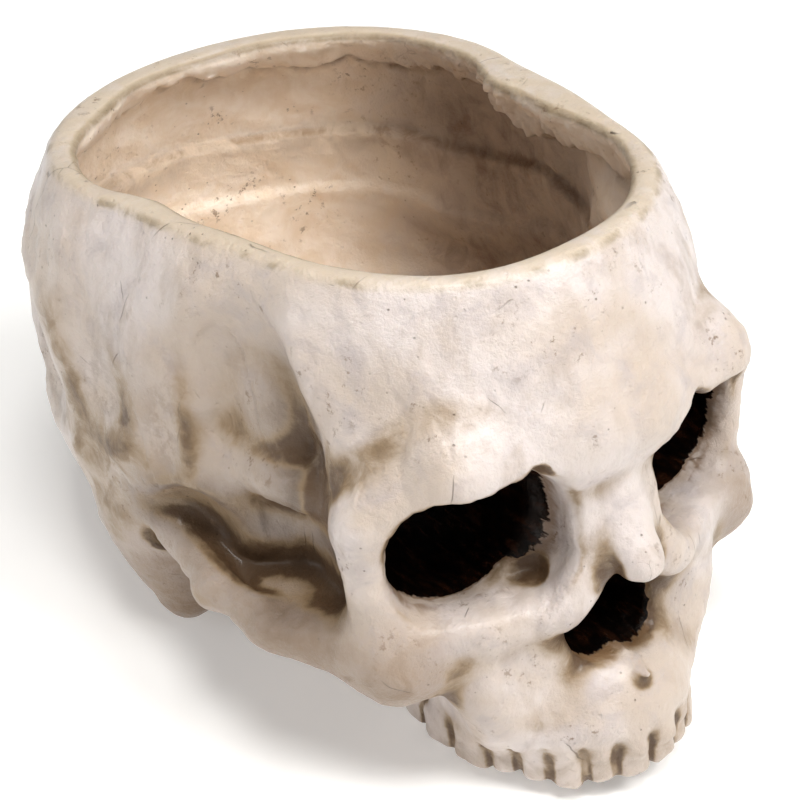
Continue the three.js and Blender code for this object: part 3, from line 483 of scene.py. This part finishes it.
def relief(points, hollow):
    """Hand-sculpted unevenness in mm: sums of sine waves for broad swells and small dents, valleys where one
    such sum is near zero for the creases, and rougher stone-like knobs on the lip."""
    x, y, z = points.T
    below_rim = rim_height(x, y) - z
    off_rim = smoothstep(below_rim, 0.5, 4)
    side = smoothstep(np.abs(x), 38, 56) * smoothstep(z, -8, 10) * smoothstep(-y, -90, -60)
    side = side * smoothstep(below_rim, 3, 14)
    broad = 0.45 * lumps(points, 30, 1) + 0.2 * lumps(points, 12, 2)
    fluted = 0.14 + 0.42 * smoothstep(-y, -30, 4)
    broad = broad + side * (fluted * lumps(points * [1, 1, 0.36], 17, 7) + 0.14 * lumps(points, 9, 8))
    small = 0.10 * lumps(points, 5, 3) + 0.06 * lumps(points, 2.8, 4, 20)
    creases = bell(lumps(points * [1, 1, 0.45], 26, 9), 0, 0.07)
    creases = creases * smoothstep(lumps(points, 38, 10), -0.2, 0.8)
    small = small - (0.25 + 0.25 * side) * creases
    inside_lip = smoothstep(-hollow, -4, 0.5) * smoothstep(below_rim, 0, 3) * smoothstep(-below_rim, -18, -10)
    rocky = inside_lip * (0.3 + 0.9 * bell(np.arctan2(x, -y), ROCKY, 0.5))
    knobs = rocky * (1.1 * np.abs(lumps(points, 9, 5)) + 0.5 * np.abs(lumps(points, 4, 6)) - 0.8)
    return off_rim * (broad + small) + knobs


# ---- Masks that the materials read ----
def openness(field, axes, points, normals, reach):
    """1 on open ground, 0 deep in a crevice: how far the field has risen, reach mm out along the normal."""
    return np.clip(sample(field, axes, points + normals * reach) / reach, 0, 1)


def socket_depth(points):
    """How far a point is behind the mouth of an eye socket or of the nose, in mm: its distance from a slanted
    plane, less a steep fall away from the walls that keeps the lacquer off the thin bone's other side."""
    x, y, z = np.abs(points[:, 0]), points[:, 1], points[:, 2]
    off_socket, off_nose = (
        30 * np.maximum(np.minimum(*[shape[0](x, y, z) for _, shape, _ in walls]) - 0.8, 0)
        for walls in (SOCKET, NOSE)
    )
    eye = y - (-82 + 0.28 * (x - 14) - 0.17 * (z - 17)) - off_socket
    nose = y + 88 - off_nose - 4 * np.maximum(z - 5, 0)
    return np.maximum(eye, nose)


def crest_y(z):
    """Where the front rim of the temple's hollow is at a height: upright, then leaning back."""
    return -64 + 0.32 * np.maximum(z - 30, 0)


def temple(x, y, z):
    """1 in the hollow of the temple, fading out towards the crest, the back and the rim."""
    back = y - crest_y(z)
    deepest = 0.45 + 0.55 * bell(back, 9, 13)
    hollow = smoothstep(x, 34, 48) * smoothstep(back, -1, 3) * smoothstep(-y, -34, 14)
    return deepest * hollow * smoothstep(-z, -76, -40)


def behind_crest(x, y, z):
    """1 right behind the rim of the temple's hollow, where the painted shade is darkest."""
    back = y - crest_y(z)
    strip = bell(back, 10, 11) * smoothstep(back, -1, 3)
    return strip * smoothstep(x, 34, 46) * smoothstep(-z, -66, -34) * smoothstep(z, -3, 4)


def pocket_shade(y, z):
    """The painted shade in the pocket over the arch: under its roof and at its front end."""
    return np.maximum(smoothstep(z, 0, 14), smoothstep(-y, 38, 54) * smoothstep(z, -8, 2))


# ---- Colours and meshes ----
def linear(code):
    """An sRGB hex colour as linear red, green, blue and alpha."""
    channels = [int(code[i : i + 2], 16) / 255 for i in (1, 3, 5)]
    return (*[c / 12.92 if c <= 0.04045 else ((c + 0.055) / 1.055) ** 2.4 for c in channels], 1)


def mesh_from(name, points, faces):
    """A smooth-shaded mesh object at the origin, from points in metres."""
    mesh = bpy.data.meshes.new(name)
    mesh.from_pydata(points.tolist(), [], faces.tolist())
    mesh.update()
    mesh.polygons.foreach_set("use_smooth", np.ones(len(mesh.polygons), bool))
    o = bpy.data.objects.new(name, mesh)
    bpy.context.scene.collection.objects.link(o)
    return o


def set_mask(mesh, name, values):
    """Stores one number for each vertex, for a material to read by name."""
    mesh.attributes.new(name, "FLOAT", "POINT").data.foreach_set("value", values.astype(np.float32))


def keep_connected(points, faces):
    """Drops crumbs: keeps only the largest connected surface."""
    label = np.arange(len(points))
    while True:
        low = label[faces].min(1)
        before = label.copy()
        for c in range(4):
            np.minimum.at(label, faces[:, c], low)
        label = label[label]
        if (label == before).all():
            break
    best = np.bincount(label).argmax()
    keep = label == best
    number = np.cumsum(keep) - 1
    return points[keep], number[faces[keep[faces[:, 0]]]]


def masks(points, axes, field, normals, hollow):
    """Where each paint and painted shade goes, by name: numbers from 0 to 1, or millimetres for below_rim and
    socket_depth.
    """
    x, y, z = points.T
    side = np.abs(x), y, z
    rim, angle = rim_height(x, y), np.arctan2(x, -y)
    below_fold = fold_height(angle, rim) - z
    under_fold = smoothstep(below_fold, -3, 3) * smoothstep(-below_fold, -15, -3)
    flutes = np.minimum.reduce([shape[0](*side) for _, shape, _ in FLUTES])
    return {
        "open_fine": openness(field, axes, points, normals, 1.6),
        "open_mid": openness(field, axes, points, normals, 4.0),
        "open_wide": openness(field, axes, points, normals, 11.0),
        "in_bowl": smoothstep(-hollow, -2.0, 0.0),
        "below_rim": rim - z,
        "socket_depth": socket_depth(points),
        "flutes": smoothstep(-flutes, -7.0, 2.5) * (1 - 0.6 * smoothstep(y, 20, 45)),
        "pocket": smoothstep(-POCKET[0](*side), -9.0, 1.0) * pocket_shade(y, z),
        "behind_crest": behind_crest(*side),
        "lip_edge": bell(rim - z - lip_depth(angle), 0.8, 1.3),
        "temple": temple(*side),
        "low_side": smoothstep(-z, -14, 16) * smoothstep(side[0], 30, 46),
        "bowl_left_wall": smoothstep(x, 34, 64),
        # brown stain below each fold, with a painted shadow line along its underside
        "folds": np.maximum(0.6 * under_fold, bell(below_fold, 0.5, 1.6)),
        "teeth": smoothstep(-z, 30, 46) * smoothstep(-y, 40, 50),
    }


def skull():
    """The sculpted casting, with relief everywhere but on the ground, and its masks."""
    axes, field, bowl = sculpt()
    points, faces = keep_connected(*surface(field, axes))
    normals = gradient(field, axes, points)
    hollow = sample(bowl, axes, points)
    off_ground = smoothstep(standing(points)[:, 2] - GROUND, 0.2, 1.5)
    moved = points + normals * (relief(points, hollow) * off_ground)[:, None]
    place = standing(moved) + np.array([0, SHIFT_Y, 0])
    o = mesh_from("skull_sculpt", place / 1000, faces)
    for name, values in masks(points, axes, field, normals, hollow).items():
        set_mask(o.data, name, values)
    lighter(o, MOST_TRIANGLES)
    return o


def lighter(o, target):
    """Fewer triangles, by Blender's edge collapse, which keeps the masks."""
    triangles = 2 * len(o.data.polygons)
    shrink = o.modifiers.new("lighter", "DECIMATE")
    shrink.ratio = min(1.0, target / triangles)
    bpy.context.view_layer.objects.active = o
    with bpy.context.temp_override(object=o, active_object=o):
        bpy.ops.object.modifier_apply(modifier="lighter")
    o.data.polygons.foreach_set("use_smooth", np.ones(len(o.data.polygons), bool))


# ---- Materials ----
PER_METRE = 1000.0  # a texture's scale for a pattern one millimetre across
SMOOTH = {"interpolation_type": "SMOOTHSTEP"}
COLOUR = {"data_type": "RGBA"}
TIMES, PLUS, LESS = ({"operation": name} for name in ("MULTIPLY", "ADD", "SUBTRACT"))
TIMES_PLUS, LARGEST, SIZE = ({"operation": name} for name in ("MULTIPLY_ADD", "MAXIMUM", "ABSOLUTE"))
CELL_EDGES = {"feature": "DISTANCE_TO_EDGE"}
WHITE, BLACK = (1, 1, 1, 1), (0, 0, 0, 1)


def feed(tree, socket, value):
    """Links a socket to a socket, or sets it to a constant."""
    if isinstance(value, bpy.types.NodeSocket):
        tree.links.new(value, socket)
    else:
        socket.default_value = value


def add_node(tree, kind, settings=None, *values, out=None, **named):
    """Adds a shader node with its settings. The values go to its live sockets in order, and the named ones to
    the sockets of those names. Gives the output called out, or else the first live one."""
    node = tree.nodes.new("ShaderNode" + kind)
    for key, value in (settings or {}).items():
        setattr(node, key, value)
    for socket, value in zip([s for s in node.inputs if s.enabled], values):
        feed(tree, socket, value)
    for key, value in named.items():
        feed(tree, node.inputs[key.replace("_", " ")], value)
    return node.outputs[out] if out else next(s for s in node.outputs if s.enabled)


def new_material(name):
    """A material, its node-adding function and the function that finishes its surface."""
    material = bpy.data.materials.new(name)
    material.use_nodes = True
    tree = material.node_tree

    def finish(**sockets):
        for key, value in sockets.items():
            feed(tree, tree.nodes["Principled BSDF"].inputs[key.replace("_", " ")], value)
        return material

    return functools.partial(add_node, tree), finish


def lay_paint_and_shade(add, colour, mask, rows):
    """Lays thin paints and painted shade over a colour. Each row is a mask, a pattern, the pattern's low and
    high ends, how much of the colour is laid at each, and that colour."""
    for place, pattern, low, high, at_low, at_high, code in rows:
        amount = add("MapRange", SMOOTH, pattern, low, high, at_low, at_high)
        amount = add("Math", TIMES, mask[place], amount)
        colour = add("Mix", COLOUR, amount, colour, linear(code))
    return colour


def outside_paint_and_shade(add, mask, patches, mottle, where):
    """The paint and painted shade outside the bowl: ivory with lilac-grey patches and streaks, brown stains
    in the flutes, painted shade in the temple and the pocket, darker low on the sides, and umber paint with
    painted shade, whose amount grows as the ground closes in. Gives the colour and the amount of umber and
    shade."""
    ground = add("MapRange", SMOOTH, patches, 0.36, 0.62)
    colour = add("Mix", COLOUR, ground, linear("#DBD0CB"), linear("#CCBCAE"))
    lilac = add("MapRange", SMOOTH, mottle, 0.44, 0.74, 0, 0.6)
    colour = add("Mix", COLOUR, lilac, colour, linear("#B6ABAA"))
    upright = add("Mapping", None, Vector=where, Scale=(1, 1, 0.22))
    streaks = add("TexNoise", None, Vector=upright, Scale=PER_METRE / 7, Detail=4.0, Roughness=0.6)
    streaks = add("MapRange", SMOOTH, streaks, 0.46, 0.72)
    streaks = add("Math", TIMES, streaks, add("MapRange", SMOOTH, patches, 0.3, 0.6, 0.5, 0.15))
    colour = add("Mix", COLOUR, streaks, colour, linear("#A28D78"))
    blotches = add("TexNoise", None, Vector=where, Scale=PER_METRE / 6, Detail=5.0, Roughness=0.65)
    glazes_and_shades = (
        # painted shade in the temple's hollow
        ("temple", mottle, 0.3, 0.66, 0.72, 0.45, "#816B55"),
        # darker low on the sides
        ("low_side", mottle, 0.3, 0.7, 1.0, 0.6, "#8A725B"),
        ("flutes", blotches, 0.42, 0.58, 0.0, 0.9, "#775B41"),
        # painted shade in the pocket over the arch
        ("pocket", mottle, 0.25, 0.7, 0.95, 0.6, "#5F4833"),
        # painted shade, darkest right behind the temple's crest
        ("behind_crest", mottle, 0.3, 0.7, 0.75, 0.45, "#4A3828"),
    )
    colour = lay_paint_and_shade(add, colour, mask, glazes_and_shades)
    # painted shade over the teeth
    closed = add("Math", TIMES, mask["teeth"], 0.36)
    for name, open_at, shut_at, most in (
        ("open_fine", 0.95, 0.6, 0.8),
        ("open_mid", 0.82, 0.25, 0.75),
        ("open_wide", 0.88, 0.25, 0.85),
    ):
        closed = add("Math", PLUS, closed, add("MapRange", SMOOTH, mask[name], open_at, shut_at, 0, most))
    # umber paint and painted shade, thicker as the ground closes in and over the teeth
    wash_and_shade = add("Math", TIMES, closed, add("MapRange", SMOOTH, mottle, 0.3, 0.7, 0.65, 1.25))
    colour = add("Mix", COLOUR, add("MapRange", SMOOTH, wash_and_shade, 0.08, 0.8), colour, linear("#A08869"))
    colour = add("Mix", COLOUR, add("MapRange", SMOOTH, wash_and_shade, 0.42, 1.2), colour, linear("#604830"))
    return colour, wash_and_shade


def bowl_paint_and_shade(add, mask, mottle, wash_and_shade):
    """The paint and painted shade in the bowl: tan, painted paler than the outside to make up for the light
    that the walls keep out, with less umber and painted shade, a brown stain and a painted shadow line round
    the folds, painted shadow under the lip, and painted shade on the wall on the skull's left."""
    ground = add("MapRange", SMOOTH, mottle, 0.35, 0.65)
    # painted light: the tan made paler than the outside, for the light that the bowl's walls keep out
    colour = add("Mix", COLOUR, ground, linear("#F7E9DA"), linear("#ECD9C3"))
    colour = add("Mix", COLOUR, add("MapRange", SMOOTH, wash_and_shade, 1.1, 2.1, 0, 0.35), colour, linear("#8A6D4B"))
    glazes_and_shades = (
        # brown stain below each fold, with a painted shadow line along its underside
        ("folds", mottle, 0.35, 0.65, 0.9, 0.35, "#92734E"),
        # painted shadow under the lip's lower edge
        ("lip_edge", mottle, 0.3, 0.6, 0.9, 0.35, "#6B4F33"),
        # painted shade on the wall that faces away from the key lamp
        ("bowl_left_wall", mottle, 0.25, 0.7, 1.0, 0.8, "#5A3B1E"),
    )
    return lay_paint_and_shade(add, colour, mask, glazes_and_shades)


def rim_paint(add, colour, mask, mottle):
    """The saw cut, rubbed paler, with a broken olive-brown line along its outer edge."""
    below = mask["below_rim"]
    rubbed = add("MapRange", SMOOTH, below, 2.6, 0.4)
    rubbed = add("Math", TIMES, rubbed, add("MapRange", SMOOTH, mottle, 0.3, 0.6, 0.35, 0.8))
    colour = add("Mix", COLOUR, rubbed, colour, linear("#D5C4AC"))
    line = add("Math", SIZE, add("Math", LESS, below, 1.1))
    line = add("MapRange", SMOOTH, line, 1.0, 0.2)
    line = add("Math", TIMES, line, add("MapRange", SMOOTH, mottle, 0.4, 0.62))
    return add("Mix", COLOUR, add("Math", TIMES, line, 0.5), colour, linear("#77633F"))


def flaws(add, where):
    """Where the resin is pricked with bubbles, cracked and scratched, and where grime is caught: 3 mm cells'
    middles, 34 mm cells' bent edges and upright cells' edges, each kept only in the patches of a noise. The
    cracks and scratches are drawn about 0.2 mm wide, wider than real ones, so that they show."""
    specks = add("TexVoronoi", None, Vector=where, Scale=PER_METRE / 3.1)
    bend = add("TexNoise", None, Vector=where, Scale=PER_METRE / 9, Detail=4.0, out="Color")
    bent = add("VectorMath", TIMES_PLUS, bend, (0.004, 0.004, 0.004), where)
    cracks = add("TexVoronoi", CELL_EDGES, Vector=bent, Scale=PER_METRE / 34)
    tall = add("Mapping", None, Vector=where, Rotation=(0.12, 0.1, 0), Scale=(1, 1, 0.13))
    scratches = add("TexVoronoi", CELL_EDGES, Vector=tall, Scale=PER_METRE / 13)
    grime = add("TexNoise", None, Vector=where, Scale=PER_METRE / 2.4, Detail=6.0, Roughness=0.7)
    upright = add("Mapping", None, Vector=where, Scale=(1, 1, 0.4))
    kept = []
    for pattern, low, high, at, size_mm, detail, patch_low, patch_high, most in (
        (specks, 0.12, 0.05, where, 14, 3.0, 0.48, 0.62, 1.0),
        (cracks, 0.006, 0.002, where, 22, 2.0, 0.63, 0.69, 1.0),
        (scratches, 0.009, 0.003, upright, 15, 3.0, 0.62, 0.68, 1.0),
        (grime, 0.56, 0.66, where, 18, 3.0, 0.5, 0.66, 0.8),
    ):
        patch = add("TexNoise", None, Vector=at, Scale=PER_METRE / size_mm, Detail=detail, Roughness=0.55)
        patch = add("MapRange", SMOOTH, patch, patch_low, patch_high, 0, most)
        kept.append(add("Math", TIMES, add("MapRange", SMOOTH, pattern, low, high), patch))
    specks, cracks, scratches, grime = kept
    return add("Math", LARGEST, specks, add("Math", LARGEST, cracks, scratches)), grime


def cast_polyresin(mesh):
    """Cast polyresin, painted by hand: an eggshell gloss like old bone over a fine stony grain, with a dark
    gloss lacquer brushed into the sockets and the nose, whose edge is ragged from the brush."""
    add, finish = new_material("cast polyresin")
    names = [a.name for a in mesh.attributes if a.data_type == "FLOAT"]
    mask = {name: add("Attribute", {"attribute_name": name}, out="Fac") for name in names}
    bowl = mask["in_bowl"]
    where = add("TexCoord", out="Object")
    patches = add("TexNoise", None, where, Scale=PER_METRE / 34, Detail=3.0, Roughness=0.5, Distortion=0.4)
    mottle = add("TexNoise", None, where, Scale=PER_METRE / 9, Detail=5.0, Roughness=0.6, Distortion=0.6)
    colour, wash_and_shade = outside_paint_and_shade(add, mask, patches, mottle, where)
    colour = add("Mix", COLOUR, bowl, colour, bowl_paint_and_shade(add, mask, mottle, wash_and_shade))
    colour = rim_paint(add, colour, mask, mottle)
    marks, grime = flaws(add, where)
    colour = add("Mix", COLOUR, grime, colour, linear("#7A6148"))
    colour = add("Mix", COLOUR, add("Math", TIMES, marks, 0.5), colour, linear("#5B4730"))

    # lacquer: where the depth behind the socket's mouth, moved by the brush streaks and a noise, passes zero
    along = add("Mapping", None, Vector=where, Scale=(1.0, 0.25, 1.0))
    streaks = add("TexNoise", None, Vector=along, Scale=PER_METRE / 2.2, Detail=3.0, Roughness=0.6)
    deep = add("Math", TIMES_PLUS, streaks, 6.0, add("Math", LESS, mask["socket_depth"], 6.0))
    ragged = add("TexNoise", None, Vector=where, Scale=PER_METRE / 7, Detail=2.0, Roughness=0.55)
    deep = add("Math", TIMES_PLUS, ragged, 4.0, add("Math", LESS, deep, 2.0))
    lacquer = add("MapRange", SMOOTH, deep, -0.4, 0.6)
    stained = add("Math", TIMES, add("MapRange", SMOOTH, deep, -5.0, -1.0), 0.75)
    colour = add("Mix", COLOUR, stained, colour, linear("#7A5B3B"))
    thin = add("MapRange", SMOOTH, streaks, 0.45, 0.7)
    dark = add("Mix", COLOUR, thin, linear("#080504"), linear("#2A160B"))
    colour = add("Mix", COLOUR, lacquer, colour, dark)

    # gloss: duller where the umber paint and painted shade lie and in the bowl, and wet in the lacquer, which
    # reflects less
    rough = add("MapRange", SMOOTH, mottle, 0.3, 0.7, 0.3, 0.46)
    rough = add("Math", PLUS, rough, add("Math", TIMES, wash_and_shade, 0.12))
    rough = add("Math", TIMES_PLUS, bowl, 0.18, rough)
    rough = add("Mix", None, lacquer, rough, 0.2)
    shine = add("Mix", COLOUR, lacquer, WHITE, (0.3, 0.28, 0.26, 1))
    varnish = add("Math", TIMES, add("Math", LESS, 1.0, bowl), 0.22)

    # relief in mm: stony grain, soft dents, pits in patches, the flaws, and the brush streaks in the lacquer
    grain = add("TexNoise", None, Vector=where, Scale=PER_METRE / 1.6, Detail=4.0, Roughness=0.65)
    dents = add("TexNoise", None, Vector=where, Scale=PER_METRE / 4.5, Detail=6.0, Roughness=0.7)
    pits = add("MapRange", SMOOTH, add("TexVoronoi", None, Vector=where, Scale=PER_METRE / 2.4), 0.25, 0.08)
    pitted = add("TexNoise", None, Vector=where, Scale=PER_METRE / 11, Detail=3.0, Roughness=0.55)
    pits = add("Math", TIMES, pits, add("MapRange", SMOOTH, pitted, 0.5, 0.65))
    height = add("Math", TIMES_PLUS, grain, 0.25, add("Math", TIMES, dents, 0.75))
    for pattern, amount in ((pits, -0.16), (marks, -0.25), (add("Math", TIMES, streaks, lacquer), 0.6)):
        height = add("Math", TIMES_PLUS, pattern, amount, height)
    bump = add("Bump", Strength=1.0, Distance=0.001, Height=height)
    finish(Base_Color=colour, Roughness=rough, Normal=bump, IOR=1.5, Specular_Tint=shine)
    finish(Coat_Weight=varnish, Coat_Roughness=0.2)
    return finish(Subsurface_Weight=0.08, Subsurface_Radius=(0.003, 0.0018, 0.001), Subsurface_Scale=0.6)


def plain(name, code, rough, size_mm=0.6, depth=0.00004):
    """A small piece's own colour, clouded a little darker, with a fine grain in its gloss and relief. The
    grain is coarser than a real mould's, so that it shows."""
    add, finish = new_material(name)
    where = add("TexCoord", out="Object")
    grain = add("TexNoise", None, Vector=where, Scale=PER_METRE / size_mm, Detail=3.0, Roughness=0.55)
    clouds = add("TexNoise", None, Vector=where, Scale=PER_METRE / (size_mm * 12), Detail=3.0, Roughness=0.55)
    colour = add("Mix", COLOUR, add("MapRange", SMOOTH, clouds, 0.3, 0.7, 0, 0.3), linear(code), BLACK)
    gloss = add("MapRange", SMOOTH, grain, 0.2, 0.8, rough - 0.06, rough + 0.08)
    bump = add("Bump", Strength=0.6, Distance=depth, Height=grain)
    return finish(Base_Color=colour, Roughness=gloss, Normal=bump)


def dress(nodes, material):
    """Gives CAD pieces a material in place of their own."""
    for name in nodes:
        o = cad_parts[name]
        o.data.materials.clear()
        o.data.materials.append(material)


casting = skull()
casting.data.materials.append(cast_polyresin(casting.data))
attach(casting, "casting")
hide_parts("skull_casting")

# moulded nylon: black, with the dull sheen of a spark-eroded mould
nylon = plain("moulded nylon", "#2B2B2D", 0.42)
dress(["bulkhead_body", "bulkhead_nut", "inlet_elbow", "air_stone_nipple"], nylon)
# silicone: milky, soft and a little shiny
dress(["upper_washer", "lower_washer", "air_stone_sleeve"], plain("translucent silicone", "#CFD3D3", 0.35))
# die-cut silicone sheet: clearer and shinier
dress([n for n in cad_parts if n.startswith("pad_")], plain("clear silicone pad", "#C9CCCB", 0.3))
# nitrile rubber: near black and matt
dress(["elbow_oring"], plain("nitrile rubber", "#161616", 0.55))
# fired ceramic grit: blue-grey, rough and full of pores, with no shine
dress(["air_stone"], plain("porous ceramic", "#7B8894", 0.92, 0.9, 0.0005))


# ---- Floor, light and camera ----
FILL, BACKDROP = 0.11, 0.85  # the even light from all round, and what only the camera sees on top of it
FLOOR_HALF = 4.0
LIT_AT = Vector((0, 0, 0.06))  # where every lamp points
AZIMUTH, ELEVATION = -37.0, 36.5  # the camera's, in degrees from straight in front and from level
DISTANCE, LENS = 0.52, 96.0  # metres, and millimetres
LOOK_AT = Vector((0.0, -0.004, 0.054))
LIGHTS = (  # name, place, width, power and tint
    ("key", (0.36, -0.66, 1.1), 0.5, 11.4, (1.0, 0.99, 0.98)),
    ("back left", (-0.95, 0.45, 0.5), 0.5, 1.9, (0.97, 0.98, 1.0)),
    ("front", (-0.5, -1.0, 0.75), 0.5, 1.0, (1.0, 0.99, 0.98)),
    ("top", (-0.16, -0.26, 1.1), 0.35, 7.2, (1.0, 0.99, 0.97)),
)


def white_paper():
    """Matt white paper: it glows more the further it is from the object, so that no horizon shows."""
    add, finish = new_material("white paper sweep")
    away = add("VectorMath", {"operation": "LENGTH"}, add("TexCoord", out="Object"))
    glow = add("MapRange", SMOOTH, away, 0.3, 1.3, 0.26, 0.95)
    return finish(Base_Color=linear("#F6F5F3"), Roughness=0.9, Emission_Color=WHITE, Emission_Strength=glow)


def studio():
    """A pale floor and backdrop, a soft key lamp high in front, one overhead, and two weak ones to fill."""
    corners = np.array([[-1, -1, 0], [1, -1, 0], [1, 1, 0], [-1, 1, 0]], float)
    floor = mesh_from("studio_floor", corners * FLOOR_HALF, np.array([[0, 1, 2, 3]]))
    floor.data.materials.append(white_paper())
    bpy.context.scene.view_settings.view_transform = "Standard"
    world = bpy.data.worlds.new("studio")
    bpy.context.scene.world = world
    world.use_nodes = True
    background = world.node_tree.nodes["Background"]
    seen = add_node(world.node_tree, "LightPath", out="Is Camera Ray")
    feed(world.node_tree, background.inputs["Color"], (1.0, 0.99, 0.97, 1))
    level = add_node(world.node_tree, "Math", TIMES_PLUS, seen, BACKDROP, FILL)
    feed(world.node_tree, background.inputs["Strength"], level)
    for name, spot, size, power, tint in LIGHTS:
        lamp = bpy.data.lights.new(name, "AREA")
        lamp.size, lamp.energy, lamp.color = size, power, tint
        o = bpy.data.objects.new(name, lamp)
        o.location = spot
        o.rotation_euler = (LIT_AT - Vector(spot)).to_track_quat("-Z", "Y").to_euler()
        bpy.context.scene.collection.objects.link(o)


def camera():
    """Looks at a point from the azimuth, elevation and distance: the way back to it is (sin a cos e,
    -cos a cos e, sin e)."""
    data = bpy.data.cameras.new("camera")
    data.lens = LENS
    o = bpy.data.objects.new("camera", data)
    a, e = math.radians(AZIMUTH), math.radians(ELEVATION)
    back = Vector((math.sin(a) * math.cos(e), -math.cos(a) * math.cos(e), math.sin(e)))
    o.location = LOOK_AT + back * DISTANCE
    o.rotation_mode = "QUATERNION"
    o.rotation_quaternion = (-back).to_track_quat("-Z", "Y")
    bpy.context.scene.collection.objects.link(o)
    bpy.context.scene.camera = o


studio()
camera()
